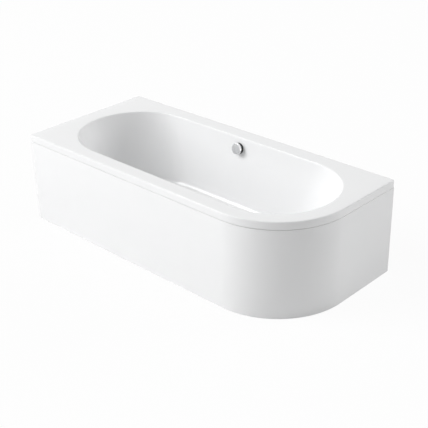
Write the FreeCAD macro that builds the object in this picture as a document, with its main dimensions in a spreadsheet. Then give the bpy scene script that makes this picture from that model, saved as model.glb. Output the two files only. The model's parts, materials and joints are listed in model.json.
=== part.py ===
"""Corner bathtub: a double-ended acrylic bath in a J-shaped outline, with a moulded panel.

Frame: X runs along the bath, the long front is at -Y, the two wall sides are at +Y and -X,
and Z is up. The origin is on the floor, under the middle of the outline. All sizes are in
millimetres.
"""
import FreeCAD
import Part
import Sketcher
import math
import os
import re

from FreeCAD import Placement, Rotation, Vector

DOC = FreeCAD.newDocument("corner_bathtub")
SHEET = DOC.addObject("Spreadsheet::Sheet", "sizes")

# Driving dimensions: each one can be changed by itself.
DRIVING = {
    # outline, rim and lip of the acrylic shell
    "bath_length": 1800,
    "bath_width": 800,
    "under_floor": 120,
    "corner_radius": 400,
    "square_corner_round": 10,
    "lip_height": 40,
    "edge_round": 6,
    "shell_wall": 5,
    # basin: rim widths, depth, how far the walls lean in, and its bends
    "rim_left": 105,
    "rim_right": 85,
    "rim_front": 80,
    "rim_back": 90,
    "basin_depth": 385,
    "end_run": 205,
    "side_run": 60,
    "floor_bend": 55,
    "rim_roll": 8,
    # front panel
    "panel_wall": 5,
    "panel_inset": 1,
    "panel_reveal": 2,
    "panel_floor_gap": 2,
    "panel_end_gap": 1,
    "panel_top_return": 7,
    "panel_foot_return": 25,
    # battens under the rim
    "batten_width": 35,
    "batten_height": 18,
    "batten_setback": 12,
    # base board under the floor, and the two cross rails
    "board_length": 960,
    "board_width": 380,
    "board_height": 18,
    "board_cutout_radius": 60,
    "rail_spacing": 720,
    "rail_length": 600,
    "rail_width": 40,
    "rail_height": 25,
    "rail_lip": 15,
    "rail_steel": 2,
    # levelling feet
    "foot_spacing": 460,
    "stud_radius": 5,
    "stud_play": 0.05,
    "stud_headroom": 5,
    "stud_sink": 6,
    "stud_hole_play": 0.3,
    "foot_radius": 25,
    "foot_height": 14,
    "foot_edge": 4,
    "foot_crown": 2,
    "foot_neck_wall": 5,
    "foot_shoulder": 2,
    "nut_across_flats": 17,
    "nut_height": 8,
    # panel catches and wall brackets
    "bracket_width": 30,
    "bracket_steel": 2,
    "bracket_standoff": 8,
    "bracket_margin": 8,
    "bracket_tail": 3,
    "catch_drop": 37,
    "catch_inset_left": 150,
    "catch_shift_middle": 45,
    "catch_inset_corner": 60,
    "catch_inset_back": 110,
    "magnet_radius": 10,
    "plate_width": 24,
    "plate_steel": 1.5,
    "plate_bow": 0.2,
    "catch_gap": 0.3,
    "strut_width": 25,
    "strut_overlap": 45,
    "strut_rise": 36,
    "strut_screw_inset": 15,
    "strut_screw_tail": 4,
    "bracket_crank_drop": 8,
    "wall_bracket_spacing": 1200,
    "left_bracket_spacing": 300,
    "wall_bracket_drop": 62,
    "wall_hole_radius": 3,
    "wall_hole_rise": 15,
    # wood screws
    "screw_radius": 2,
    "screw_head_radius": 4,
    "screw_head_height": 2.5,
    "screw_bite": 12,
    # overflow with its rotary knob
    "waste_shift": -10,
    "overflow_drop": 60,
    "overflow_hole_radius": 26,
    "overflow_flange_radius": 36,
    "overflow_cup_radius": 33,
    "overflow_cup_depth": 40,
    "overflow_cup_wall": 3.5,
    "overflow_flange_wall": 4,
    "gasket_height": 3,
    "gasket_gap": 0.3,
    "gasket_margin": 2,
    "spindle_radius": 5,
    "spindle_play": 0.05,
    "spindle_setback": 1,
    "bearing_length": 12,
    "bearing_radius": 9,
    "screw_boss_radius": 4.5,
    "screw_boss_gap": 6,
    "screw_boss_floor": 10,
    "faceplate_radius": 30,
    "faceplate_height": 3,
    "water_hole_radius": 5.5,
    "water_hole_circle": 18,
    "overflow_screw_reach": 21,
    "overflow_screw_length": 24,
    "overflow_head_height": 2.2,
    "knob_radius": 32,
    "knob_face_radius": 29.5,
    "knob_rise": 28,
    "knob_wall_gap": 17,
    "knob_band": 5,
    "knob_wall": 3.2,
    "knob_round": 1.2,
    "knob_face_step": 2.5,
    "knob_socket_cover": 6,
    "knob_hub_wall": 4,
    "knob_hub_gap": 4,
    "grub_radius": 1.5,
    "grub_length": 4,
    "grub_play": 0.2,
    "grub_drop": 16,
    "wheel_radius": 14,
    "wheel_height": 6,
    "wheel_gap": 1,
    "wheel_groove": 1.5,
    # overflow hose and control cable
    "hose_radius": 16,
    "hose_bore": 12.4,
    "hose_rib_depth": 2.2,
    "hose_rib_pitch": 7.5,
    "hose_bend": 70,
    "hose_drop": 40,
    "spigot_radius": 12.2,
    "spigot_bore": 9.5,
    "spigot_length": 22,
    "spigot_collar": 8,
    "spigot_shoulder": 3,
    "spigot_start": 20,
    "hose_nut_radius": 20,
    "hose_nut_height": 16,
    "hose_nut_overlap": 2,
    "hose_nut_play": 0.1,
    "cable_radius": 3,
    "cable_shift": 27,
    "cable_drop": 28,
    "cable_core_radius": 1.5,
    "cable_bend": 60,
    "gland_radius": 4.8,
    "gland_step": 4,
    "gland_start": 16,
    "gland_bore_start": 8,
    # waste, plug and lifting lever
    "waste_hole_radius": 25.5,
    "waste_bore": 21,
    "waste_sleeve_wall": 3,
    "waste_sleeve_length": 30,
    "waste_flange_radius": 35.5,
    "waste_flange_height": 2.5,
    "flange_edge": 1,
    "flange_bevel": 2.5,
    "bore_bevel": 1.5,
    "flange_seal_height": 1,
    "flange_seal_margin": 2,
    "sleeve_play": 0.2,
    "guide_wall": 3.5,
    "guide_height": 5,
    "guide_rise": 4,
    "guide_arm_width": 3,
    "body_flange_radius": 38,
    "body_flange_height": 5,
    "body_neck": 14,
    "waste_cup_radius": 31,
    "waste_cup_bore": 28,
    "waste_cup_height": 39,
    "waste_cup_floor": 2.5,
    "waste_cup_roof": 3,
    "waste_neck_step": 0.5,
    "waste_collar_bite": 1,
    "waste_gland_step": 10,
    "waste_gland_start": 12,
    "waste_outlet_radius": 17.2,
    "waste_outlet_bore": 15,
    "waste_outlet_length": 10,
    "plug_radius": 33,
    "plug_dome": 4.6,
    "plug_clearance": 1.5,
    "plug_boss_radius": 17.5,
    "plug_boss_length": 12,
    "plug_bevel": 3,
    "plug_groove_rise": 3.3,
    "plug_groove_height": 4,
    "plug_groove_depth": 2,
    "stem_radius": 4,
    "stem_sink": 6,
    "stem_reach": 23,
    "stem_play": 0.05,
    "seal_gap": 0.3,
    "lever_reach": 18,
    "lever_tip_radius": 2,
    "lever_gap": 0.4,
    "lever_swing": 40,
    "lever_hub_radius": 4.5,
    "pin_radius": 2,
    "pin_length": 48,
    "lever_width": 6,
    "lever_hub_length": 18,
    "lever_hub_side": 4,
    "crank_reach": 8,
    "crank_width": 4,
    "crank_thickness": 3,
    # trap and outlet pipe
    "pipe_radius": 20,
    "pipe_bore": 17.5,
    "trap_bend": 28,
    "trap_leg": 10,
    "outlet_bend": 24,
    "trap_riser": 2,
    "trap_seal_height": 2,
    "outlet_run": 24,
    "pipe_run": 36,
    "pipe_sweep": 60,
    "pipe_wall_gap": 70,
    "pipe_bead_setback": 60,
    "pipe_bead_width": 3,
    "pipe_bead_height": 2,
    "coupling_wall": 3.5,
    "coupling_length": 40,
    "coupling_play": 0.05,
    "union_nut_height": 11,
    "union_nut_rise": 1.5,
    "union_nut_play": 0.2,
    "cap_radius": 14,
    "cap_grip": 3,
    "cap_skirt": 7,
    "cap_boss_reach": 8,
    "cap_boss_start": 6,
    "cap_boss_wall": 2.5,
}

# Places worked out from the driving dimensions, as expressions of the sheet's names.
DERIVED = {
    "half_length": "(bath_length / 2)",
    "half_width": "(bath_width / 2)",
    "corner_x": "(half_length - corner_radius)",
    "corner_y": "(corner_radius - half_width)",
    "floor_under": "(under_floor)",
    "floor_top": "(under_floor + shell_wall)",
    "rim_height": "(floor_top + basin_depth)",
    "rim_under": "(rim_height - shell_wall)",
    "lip_bottom": "(rim_height - lip_height)",
    "basin_x": "((rim_left - rim_right) / 2)",
    "basin_y": "((rim_front - rim_back) / 2)",
    "mouth_half_length": "((bath_length - rim_left - rim_right) / 2)",
    "mouth_half_width": "((bath_width - rim_front - rim_back) / 2)",
    "floor_half_length": "(mouth_half_length - end_run)",
    "floor_half_width": "(mouth_half_width - side_run)",
    "panel_face": "(panel_inset + panel_wall)",
    "panel_top": "(lip_bottom - panel_reveal)",
    "batten_edge": "(shell_wall + batten_setback)",
    "batten_inner": "(batten_edge + batten_width)",
    "batten_bottom": "(rim_under - batten_height)",
    "board_bottom": "(floor_under - board_height)",
    "rail_x": "(rail_spacing / 2)",
    "rail_bottom": "(board_bottom - rail_height)",
    "web_top": "(rail_bottom + rail_steel)",
    "foot_y": "(foot_spacing / 2)",
    "stud_top": "(board_bottom - stud_headroom)",
    "stud_seat": "(foot_height - stud_sink)",
    "nut_radius": "(nut_across_flats / sqrt(3))",
    "catch_height": "(batten_bottom - catch_drop)",
    "magnet_height": "(bracket_standoff - plate_steel - catch_gap)",
    "wall_tilt": "(atan(side_run / basin_depth))",
    "waste_x": "(waste_shift)",
    "waste_y": "(basin_y)",
    "overflow_z": "(rim_height - overflow_drop)",
    "overflow_y": "(basin_y + mouth_half_width - side_run * overflow_drop / basin_depth)",
    "gasket_back": "(-shell_wall - gasket_gap - gasket_height)",
    "cup_back": "(gasket_back - overflow_cup_depth)",
    "cup_middle": "(gasket_back - overflow_cup_depth / 2 + spindle_setback)",
    "collar_end": "(overflow_cup_radius + spigot_collar)",
    "spigot_end": "(collar_end + spigot_length)",
    "gland_end": "(collar_end + gland_step)",
    "hose_height": "(floor_under - hose_drop)",
    "cable_height": "(floor_under - cable_drop)",
    "flange_seat": "(floor_top + flange_seal_height)",
    "flange_top": "(flange_seat + waste_flange_height)",
    "sleeve_radius": "(waste_bore + waste_sleeve_wall)",
    "sleeve_bottom": "(flange_seat - waste_sleeve_length)",
    "body_top": "(floor_under - gasket_height)",
    "cup_top": "(body_top - body_neck)",
    "cup_bottom": "(cup_top - waste_cup_height)",
    "cup_floor_top": "(cup_bottom + waste_cup_floor)",
    "trap_top": "(cup_bottom - trap_seal_height)",
    "plug_under": "(flange_top + plug_clearance)",
    "boss_bottom": "(plug_under - plug_boss_length)",
    "stem_top": "(boss_bottom + stem_sink)",
    "stem_bottom": "(cup_top - stem_reach)",
    "lever_y": "(waste_y + lever_reach)",
    "lever_z": "(stem_bottom - lever_gap - lever_tip_radius"
               " + lever_reach * sin(lever_swing * 0.5deg))",
    "waste_collar_end": "(waste_cup_radius + spigot_collar)",
    "waste_spigot_end": "(waste_collar_end + spigot_length)",
    "waste_gland_end": "(waste_collar_end + waste_gland_step)",
    "trap_low_z": "(trap_top - trap_leg)",
    "trap_far_x": "(waste_x - 2 * trap_bend)",
    "outlet_z": "(trap_low_z + outlet_bend + trap_riser)",
    "trap_end_x": "(trap_far_x - outlet_bend - outlet_run)",
    "pipe_x": "(trap_end_x - pipe_run - pipe_sweep)",
    "pipe_end_y": "(half_width - pipe_wall_gap)",
}

# The shape of one rib of the hose, as shares of its pitch, and the steps of the hose's bore.
RIB_FALL, RIB_FLOOR, RIB_RISE = 0.2, 0.5, 0.7
BORE_STEPS = 12
# The plug's domed cap: shares of its radius and of its height.
PLUG_EDGE, PLUG_SHOULDER, PLUG_CROWN = 0.35, 0.65, 0.93
# Angles of the water holes in the face plate and of the arms of the plug's guide.
WATER_HOLES = (50, 90, 130, 230, 270, 310)
GUIDE_ARMS = (90, 210, 330)
SUBPARTS = []


# ---------------------------------------------------------------- sheet and expressions
def fill_sheet():
    """Writes every driving dimension into the sheet under its own name."""
    for row, (name, value) in enumerate(DRIVING.items(), start=1):
        SHEET.set(f"A{row}", name)
        SHEET.set(f"B{row}", str(value))
        SHEET.setAlias(f"B{row}", name)
    DOC.recompute()


def expand(text):
    """Gives an expression its sheet names, with the derived places written out."""
    text = str(text)
    while True:
        grown = re.sub(r"(?<![\w.])[a-z_]+(?![\w(])", lambda m: DERIVED.get(m[0], m[0]), text)
        if grown == text:
            break
        text = grown
    return re.sub(r"(?<![\w.])[a-z_]+(?![\w(])", lambda m: in_sheet(m[0]), text)


def in_sheet(name):
    """Puts the sheet's name before a driving dimension, and leaves any other word."""
    return f"sizes.{name}" if name in DRIVING else name


def number(text):
    """The present value of an expression, for starting points of sketches and for paths."""
    value = SHEET.evalExpression(expand(text).replace("sizes.", ""))
    return float(getattr(value, "Value", value))


def bind(thing, **expressions):
    """Ties properties of an object to expressions of the sheet."""
    for prop, text in expressions.items():
        thing.setExpression(prop, expand(text))
    return thing


def move(thing, x="0", y="0", z="0"):
    """Ties the place of an object to the sheet."""
    for letter, text in zip("xyz", (x, y, z)):
        thing.setExpression(f"Placement.Base.{letter}", expand(text))
    return thing


def keep(thing, label):
    """Names a finished sub-part."""
    thing.Label = label
    SUBPARTS.append(thing)
    return thing


# ---------------------------------------------------------------- primitives and booleans
TURNS = {
    "X": Rotation(Vector(0, 1, 0), 90),
    "-X": Rotation(Vector(0, 1, 0), -90),
    "Y": Rotation(Vector(1, 0, 0), -90),
    "-Y": Rotation(Vector(1, 0, 0), 90),
    "Z": Rotation(),
}


def block(name, corner, sides):
    """A box from its lowest corner."""
    box = DOC.addObject("Part::Box", name)
    bind(box, Length=sides[0], Width=sides[1], Height=sides[2])
    return move(box, *corner)


def rod(name, radius, length, at, along="Z"):
    """A cylinder that starts at a point and runs along an axis."""
    cylinder = DOC.addObject("Part::Cylinder", name)
    cylinder.Placement = Placement(Vector(), TURNS[along])
    bind(cylinder, Radius=radius, Height=length)
    return move(cylinder, *at)


def cut(name, base, tools):
    """The base with every tool taken away."""
    result = DOC.addObject("Part::Cut", name)
    result.Base = base
    result.Tool = tools[0] if len(tools) == 1 else fuse(name + "_tools", tools)
    return result


def fuse(name, pieces):
    """One solid of pieces that meet."""
    result = DOC.addObject("Part::MultiFuse", name)
    result.Shapes = pieces
    result.Refine = True
    return result


def group(name, pieces):
    """Like pieces that stay separate solids."""
    result = DOC.addObject("Part::Compound", name)
    result.Links = pieces
    return result


def tube(name, outer, bore, length, at, along="Z"):
    """A round tube that starts at a point and runs along an axis."""
    outside = rod(name + "_outside", outer, length, at, along)
    inside = rod(name + "_inside", bore, length, at, along)
    return cut(name, outside, [inside])


# ---------------------------------------------------------------- sketches and features
def origin_plane(body, role):
    """One of a body's own origin planes."""
    return next(item for item in body.Origin.OriginFeatures if item.Role == role)


def new_body(name):
    """An empty body."""
    return DOC.addObject("PartDesign::Body", name)


def new_sketch(body, name, role="XY_Plane", lift="0"):
    """A sketch on one of the body's origin planes, lifted along that plane's normal."""
    sketch = body.newObject("Sketcher::SketchObject", name)
    sketch.AttachmentSupport = [(origin_plane(body, role), "")]
    sketch.MapMode = "FlatFace"
    sketch.setExpression("AttachmentOffset.Base.z", expand(lift))
    return sketch


def hold(sketch, kind, refs, text):
    """A dimension of a sketch, tied to the sheet."""
    index = sketch.addConstraint(Sketcher.Constraint(kind, *refs, number(text)))
    name = f"size_{index}"
    sketch.renameConstraint(index, name)
    sketch.setExpression(f"Constraints.{name}", expand(text))


def pin_point(sketch, line, end, x, y):
    """Holds one end of a line at a place measured from the sketch's origin."""
    if x == "0":
        sketch.addConstraint(Sketcher.Constraint("PointOnObject", line, end, -2))
    else:
        hold(sketch, "DistanceX", (-1, 1, line, end), x)
    if y == "0":
        sketch.addConstraint(Sketcher.Constraint("PointOnObject", line, end, -1))
    else:
        hold(sketch, "DistanceY", (-1, 1, line, end), y)


def outline(sketch, points):
    """A closed outline of straight lines through points given as pairs of expressions."""
    spots = [Vector(number(x), number(y), 0) for x, y in points]
    for here, there in zip(spots, spots[1:] + spots[:1]):
        sketch.addGeometry(Part.LineSegment(here, there))
    for line in range(len(points)):
        follower = (line + 1) % len(points)
        sketch.addConstraint(Sketcher.Constraint("Coincident", line, 2, follower, 1))
        pin_point(sketch, line, 1, *points[line])
    return sketch


def turned(name, points):
    """A body of revolution about its own Z, from radius and height pairs."""
    body = new_body(name)
    sketch = outline(new_sketch(body, name + "_profile", "XZ_Plane"), points)
    turn = body.newObject("PartDesign::Revolution", name + "_turn")
    turn.Profile = sketch
    turn.ReferenceAxis = (sketch, ["V_Axis"])
    turn.Angle = 360
    return body


def bar(name, role, points, start, length):
    """A profile on an origin plane, drawn out along that plane's normal from start."""
    body = new_body(name)
    sketch = outline(new_sketch(body, name + "_profile", role, start), points)
    pad = body.newObject("PartDesign::Pad", name + "_pad")
    pad.Profile = sketch
    pad.setExpression("Length", expand(length))
    return body


def hexagon_nut(name, at):
    """A hexagon nut whose bore runs on the foot's stud."""
    prism = DOC.addObject("Part::Prism", name + "_prism")
    prism.Polygon = 6
    bind(prism, Circumradius="nut_radius", Height="nut_height")
    move(prism, *at)
    bore = rod(name + "_bore", "stud_radius + stud_play", "nut_height", at)
    return cut(name, prism, [bore])


def wood_screw(name, at, clamped, bite="screw_bite"):
    """A round-headed screw driven upwards through what it clamps, its head below at."""
    x, y, z = at
    shank = rod(name + "_shank", "screw_radius", f"{clamped} + {bite}", at)
    head = rod(name + "_head", "screw_head_radius", "screw_head_height",
               (x, y, f"{z} - screw_head_height"))
    return fuse(name, [shank, head])


def screw_hole(name, at, depth):
    """The hole that a wood screw fills."""
    return rod(name, "screw_radius", depth, at)


# ---------------------------------------------------------------- bath shell
def stadium_edges(half_length, half_width, height):
    """Corner points and edges of a round-ended slot, centred on the basin."""
    level, radius = number(height), number(half_width)
    middle = Vector(number("basin_x"), number("basin_y"), level)
    reach = Vector(number(half_length) - radius, 0, 0)
    side, tip = Vector(0, radius, 0), Vector(radius, 0, 0)
    points = [middle - reach - side, middle + reach - side,
              middle + reach + side, middle - reach + side]
    edges = [
        Part.LineSegment(points[0], points[1]).toShape(),
        Part.Arc(points[1], middle + reach + tip, points[2]).toShape(),
        Part.LineSegment(points[2], points[3]).toShape(),
        Part.Arc(points[3], middle - reach - tip, points[0]).toShape(),
    ]
    return points, edges


def leaning_block(mouth, floor, bend):
    """A solid between two slots: flat leaning sides, ruled leaning ends, and a rounded floor."""
    high_points, high_edges = stadium_edges(*mouth)
    low_points, low_edges = stadium_edges(*floor)
    faces = [Part.Face(Part.Wire(high_edges)), Part.Face(Part.Wire(low_edges))]
    for side in (0, 2):
        corners = (high_points[side], high_points[side + 1],
                   low_points[side + 1], low_points[side], high_points[side])
        faces.append(Part.Face(Part.makePolygon(corners)))
        faces.append(Part.makeRuledSurface(high_edges[side + 1], low_edges[side + 1]))
    shell = Part.makeShell(faces)
    shell.sewShape()
    solid = Part.Solid(shell)
    if solid.Volume < 0:
        solid.reverse()
    return solid.makeFillet(number(bend), level_edges(solid, number(floor[2])))


def bath_outline(body, name, lift, inset):
    """The plan of the bath: three square corners and one large round one, drawn in by inset."""
    sketch = new_sketch(body, name, lift=lift)
    left, right = f"-half_length + {inset}", f"half_length - {inset}"
    front, back = f"-half_width + {inset}", f"half_width - {inset}"
    west, east, south, north = (number(side) for side in (left, right, front, back))
    centre = Vector(number("corner_x"), number("corner_y"), 0)
    radius = number(f"corner_radius - {inset}")
    sketch.addGeometry([
        Part.LineSegment(Vector(west, south, 0), Vector(centre.x, south, 0)),
        Part.ArcOfCircle(Part.Circle(centre, Vector(0, 0, 1), radius), -math.pi / 2, 0),
        Part.LineSegment(Vector(east, centre.y, 0), Vector(east, north, 0)),
        Part.LineSegment(Vector(east, north, 0), Vector(west, north, 0)),
        Part.LineSegment(Vector(west, north, 0), Vector(west, south, 0)),
    ])
    sketch.addConstraint([
        Sketcher.Constraint("Tangent", 0, 2, 1, 1),
        Sketcher.Constraint("Tangent", 1, 2, 2, 1),
        Sketcher.Constraint("Coincident", 2, 2, 3, 1),
        Sketcher.Constraint("Coincident", 3, 2, 4, 1),
        Sketcher.Constraint("Coincident", 4, 2, 0, 1),
        Sketcher.Constraint("Horizontal", 0),
        Sketcher.Constraint("Horizontal", 3),
        Sketcher.Constraint("Vertical", 2),
        Sketcher.Constraint("Vertical", 4),
    ])
    hold(sketch, "Radius", (1,), f"corner_radius - {inset}")
    pin_point(sketch, 0, 1, left, front)
    pin_point(sketch, 3, 1, right, back)
    return sketch


def level_edges(shape, height):
    """The edges of a shape that lie at one height."""
    return [edge for edge in shape.Edges
            if abs(edge.BoundBox.ZMin - height) < 0.01 and abs(edge.BoundBox.ZMax - height) < 0.01]


def edge_names(shape, edges):
    """The names of some of a shape's edges."""
    return [f"Edge{index}" for index, edge in enumerate(shape.Edges, start=1)
            if any(edge.isSame(wanted) for wanted in edges)]


def upright_edges(shape):
    """Names of the straight upright edges at the square corners of the outline."""
    names = []
    west = -number("half_length")
    north = number("half_width")
    for index, edge in enumerate(shape.Edges, start=1):
        box = edge.BoundBox
        if box.XLength > 0.01 or box.YLength > 0.01:
            continue
        if abs(box.XMin - west) < 0.01 or abs(box.YMin - north) < 0.01:
            names.append(f"Edge{index}")
    return names


def round_edges(body, name, base, edges, radius):
    """A fillet of the named edges."""
    fillet = body.newObject("PartDesign::Fillet", name)
    fillet.Base = (base, edges)
    fillet.setExpression("Radius", expand(radius))
    DOC.recompute()
    return fillet


def make_bath_shell():
    """The acrylic shell: flat rim, down-turned lip and the double-ended basin."""
    body = new_body("rim_body")
    slab = body.newObject("PartDesign::Pad", "rim_slab")
    slab.Profile = bath_outline(body, "rim_outline", "lip_bottom", "0")
    slab.setExpression("Length", expand("lip_height"))
    DOC.recompute()
    corners = round_edges(body, "square_corners", slab, upright_edges(slab.Shape),
                          "square_corner_round")
    top_edges = level_edges(corners.Shape, number("rim_height"))
    round_edges(body, "rim_edge", corners, edge_names(corners.Shape, top_edges), "edge_round")
    hollow = body.newObject("PartDesign::Pocket", "lip_hollow")
    hollow.Profile = bath_outline(body, "lip_inside", "lip_bottom", "shell_wall")
    hollow.Reversed = True
    hollow.setExpression("Length", expand("lip_height - shell_wall"))
    outside = DOC.addObject("Part::Feature", "basin_outside")
    outside.Shape = leaning_block(
        ("mouth_half_length + shell_wall", "mouth_half_width + shell_wall", "rim_height"),
        ("floor_half_length + shell_wall", "floor_half_width + shell_wall", "floor_under"),
        "floor_bend + shell_wall")
    drain = rod("waste_hole", "waste_hole_radius", "4 * shell_wall",
                ("waste_x", "waste_y", "floor_under - shell_wall"))
    port = on_wall(rod("overflow_hole", "overflow_hole_radius", "4 * shell_wall",
                       ("0", "0", "0")), "-2 * shell_wall")
    whole = fuse("shell_solid", [body, outside])
    keep(cut("shell_hollow", whole, [make_basin_cavity(), drain, port]), "bath_shell")


def make_basin_cavity():
    """The space inside the basin, with its floor bend and the roll at its mouth."""
    basin = leaning_block(("mouth_half_length", "mouth_half_width", "rim_height"),
                          ("floor_half_length", "floor_half_width", "floor_top"),
                          "floor_bend")
    clear = number("lip_height")
    above = Part.makeBox(number("bath_length") + 2 * clear, number("bath_width") + 2 * clear,
                         clear, Vector(-number("half_length") - clear,
                                       -number("half_width") - clear, number("rim_height")))
    space = above.fuse(basin).removeSplitter()
    mouth = [edge for edge in level_edges(space, number("rim_height"))
             if edge.BoundBox.XMax < number("half_length - rim_right / 2")
             and edge.BoundBox.YMax < number("half_width - rim_back / 2")]
    cavity = DOC.addObject("Part::Feature", "basin_cavity")
    cavity.Shape = space.makeFillet(number("rim_roll"), mouth)
    return cavity


# ---------------------------------------------------------------- front panel
def panel_band(body, name, lift, depth):
    """The plan of the panel: a band of one depth along the front, the corner and the right end."""
    sketch = new_sketch(body, name, lift=lift)
    west, north = number("-half_length + panel_end_gap"), number("half_width - panel_end_gap")
    centre = Vector(number("corner_x"), number("corner_y"), 0)
    faces = ("panel_inset", f"panel_inset + {depth}")
    for face in faces:
        south, east = number(f"-half_width + {face}"), number(f"half_length - {face}")
        radius = number(f"corner_radius - ({face})")
        sketch.addGeometry([
            Part.LineSegment(Vector(west, south, 0), Vector(centre.x, south, 0)),
            Part.ArcOfCircle(Part.Circle(centre, Vector(0, 0, 1), radius), -math.pi / 2, 0),
            Part.LineSegment(Vector(east, centre.y, 0), Vector(east, north, 0)),
        ])
    outer, inner = 0, 3
    for start, end in ((1, 2), (2, 1)):
        first = sketch.getPoint(outer if start == 1 else outer + 2, start)
        second = sketch.getPoint(inner if start == 1 else inner + 2, start)
        sketch.addGeometry(Part.LineSegment(first, second))
    for first in (outer, inner):
        sketch.addConstraint([
            Sketcher.Constraint("Tangent", first, 2, first + 1, 1),
            Sketcher.Constraint("Tangent", first + 1, 2, first + 2, 1),
            Sketcher.Constraint("Horizontal", first),
            Sketcher.Constraint("Vertical", first + 2),
        ])
    sketch.addConstraint([
        Sketcher.Constraint("Coincident", 6, 1, outer, 1),
        Sketcher.Constraint("Coincident", 6, 2, inner, 1),
        Sketcher.Constraint("Vertical", 6),
        Sketcher.Constraint("Coincident", 7, 1, outer + 2, 2),
        Sketcher.Constraint("Coincident", 7, 2, inner + 2, 2),
        Sketcher.Constraint("Horizontal", 7),
    ])
    for first, face in zip((outer, inner), faces):
        hold(sketch, "Radius", (first + 1,), f"corner_radius - ({face})")
        hold(sketch, "DistanceY", (-1, 1, first, 1), f"-half_width + {face}")
        hold(sketch, "DistanceX", (-1, 1, first + 2, 2), f"half_length - ({face})")
    hold(sketch, "DistanceX", (-1, 1, outer, 1), "-half_length + panel_end_gap")
    hold(sketch, "DistanceY", (-1, 1, outer + 2, 2), "half_width - panel_end_gap")
    return sketch


def make_front_panel():
    """The moulded panel: front, round corner and right end in one, with two stiffening returns."""
    body = new_body("front_panel")
    runs = (
        ("panel_skin", "panel_floor_gap", "panel_wall", "panel_top - panel_floor_gap"),
        ("panel_foot", "panel_floor_gap", "panel_wall + panel_foot_return", "panel_wall"),
        ("panel_head", "panel_top - panel_wall", "panel_wall + panel_top_return",
         "panel_wall"),
    )
    for name, lift, depth, height in runs:
        pad = body.newObject("PartDesign::Pad", name)
        pad.Profile = panel_band(body, name + "_band", lift, depth)
        pad.setExpression("Length", expand(height))
        DOC.recompute()
    keep(body, "front_panel")


# ---------------------------------------------------------------- battens under the rim
LEFT_END = "-half_length + batten_edge"
RIGHT_END = "half_length - batten_edge"
BACK_EDGE = "half_width - batten_edge"
LONG_BRACKETS = ("-wall_bracket_spacing / 2", "wall_bracket_spacing / 2")
LEFT_BRACKETS = ("-left_bracket_spacing / 2", "left_bracket_spacing / 2")


def catch_places():
    """Where the panel is held at the top: a point on its inner face, and its turn in degrees."""
    front = "-half_width + panel_face"
    round_reach = "(corner_radius - panel_face) * cos(45deg)"
    return (
        ("-half_length + catch_inset_left", front, 0),
        ("(corner_x - half_length) / 2 + catch_shift_middle", front, 0),
        ("corner_x - catch_inset_corner", front, 0),
        (f"corner_x + {round_reach}", f"corner_y - {round_reach}", 45),
        ("half_length - panel_face", "half_width - catch_inset_back", 90),
    )


def catch_point(place, across, inwards):
    """A point beside a catch: across the panel's face, and inwards from it."""
    x, y, turn = place
    return (
        f"{x} + ({across}) * cos({turn}deg) - ({inwards}) * sin({turn}deg)",
        f"{y} + ({across}) * sin({turn}deg) + ({inwards}) * cos({turn}deg)",
    )


def turn_about_z(thing, degrees):
    """Turns a primitive about its own upright."""
    thing.Placement = Placement(Vector(), Rotation(Vector(0, 0, 1), degrees))
    return thing


def catch_block(name, place, across, inwards, height, sides):
    """A box at a catch, turned with the panel's face."""
    box = DOC.addObject("Part::Box", name)
    turn_about_z(box, place[2])
    bind(box, Length=sides[0], Width=sides[1], Height=sides[2])
    x, y = catch_point(place, across, inwards)
    return move(box, x, y, height)


def catch_screw_point(place):
    """Where a bracket's screw goes up into its batten."""
    return catch_point(place, "0", "batten_edge - panel_face + batten_width / 2")


def batten_holes(name, points):
    """Screw holes in the underside of a batten."""
    return [screw_hole(f"{name}_hole_{index}", (x, y, "batten_bottom"), "screw_bite")
            for index, (x, y) in enumerate(points)]


def make_battens():
    """Timber battens bonded under the rim, one along each side and one round the corner."""
    catches = catch_places()
    wall_line = f"{BACK_EDGE} - batten_width / 2"
    left_line = f"{LEFT_END} + batten_width / 2"
    front = block("front_batten", (LEFT_END, "-half_width + batten_edge", "batten_bottom"),
                  ("corner_x + half_length - batten_edge", "batten_width", "batten_height"))
    front_points = [catch_screw_point(place) for place in catches[:3]]
    keep(cut("front_batten_drilled", front, batten_holes("front_batten", front_points)),
         "rim_batten_front")
    back = block("back_batten", (LEFT_END, "half_width - batten_inner", "batten_bottom"),
                 ("bath_length - 2 * batten_edge", "batten_width", "batten_height"))
    back_points = [(x, wall_line) for x in LONG_BRACKETS]
    keep(cut("back_batten_drilled", back, batten_holes("back_batten", back_points)),
         "rim_batten_back")
    left = block("left_batten", (LEFT_END, "-half_width + batten_inner", "batten_bottom"),
                 ("batten_width", "bath_width - 2 * batten_inner", "batten_height"))
    left_points = [(left_line, y) for y in LEFT_BRACKETS]
    keep(cut("left_batten_drilled", left, batten_holes("left_batten", left_points)),
         "rim_batten_left")
    right = block("right_batten", ("half_length - batten_inner", "corner_y", "batten_bottom"),
                  ("batten_width", "half_width - batten_inner - corner_y", "batten_height"))
    right_points = [catch_screw_point(catches[4])]
    keep(cut("right_batten_drilled", right, batten_holes("right_batten", right_points)),
         "rim_batten_right")
    quarter = []
    for name, radius in (("outside", "corner_radius - batten_edge"),
                         ("inside", "corner_radius - batten_inner")):
        wedge = rod(f"corner_batten_{name}", radius, "batten_height",
                    ("corner_x", "corner_y", "batten_bottom"))
        wedge.Angle = 90
        wedge.Placement.Rotation = Rotation(Vector(0, 0, 1), -90)
        quarter.append(wedge)
    holes = batten_holes("corner_batten", [catch_screw_point(catches[3])])
    keep(cut("corner_batten_drilled", quarter[0], [quarter[1]] + holes), "rim_batten_corner")


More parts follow.
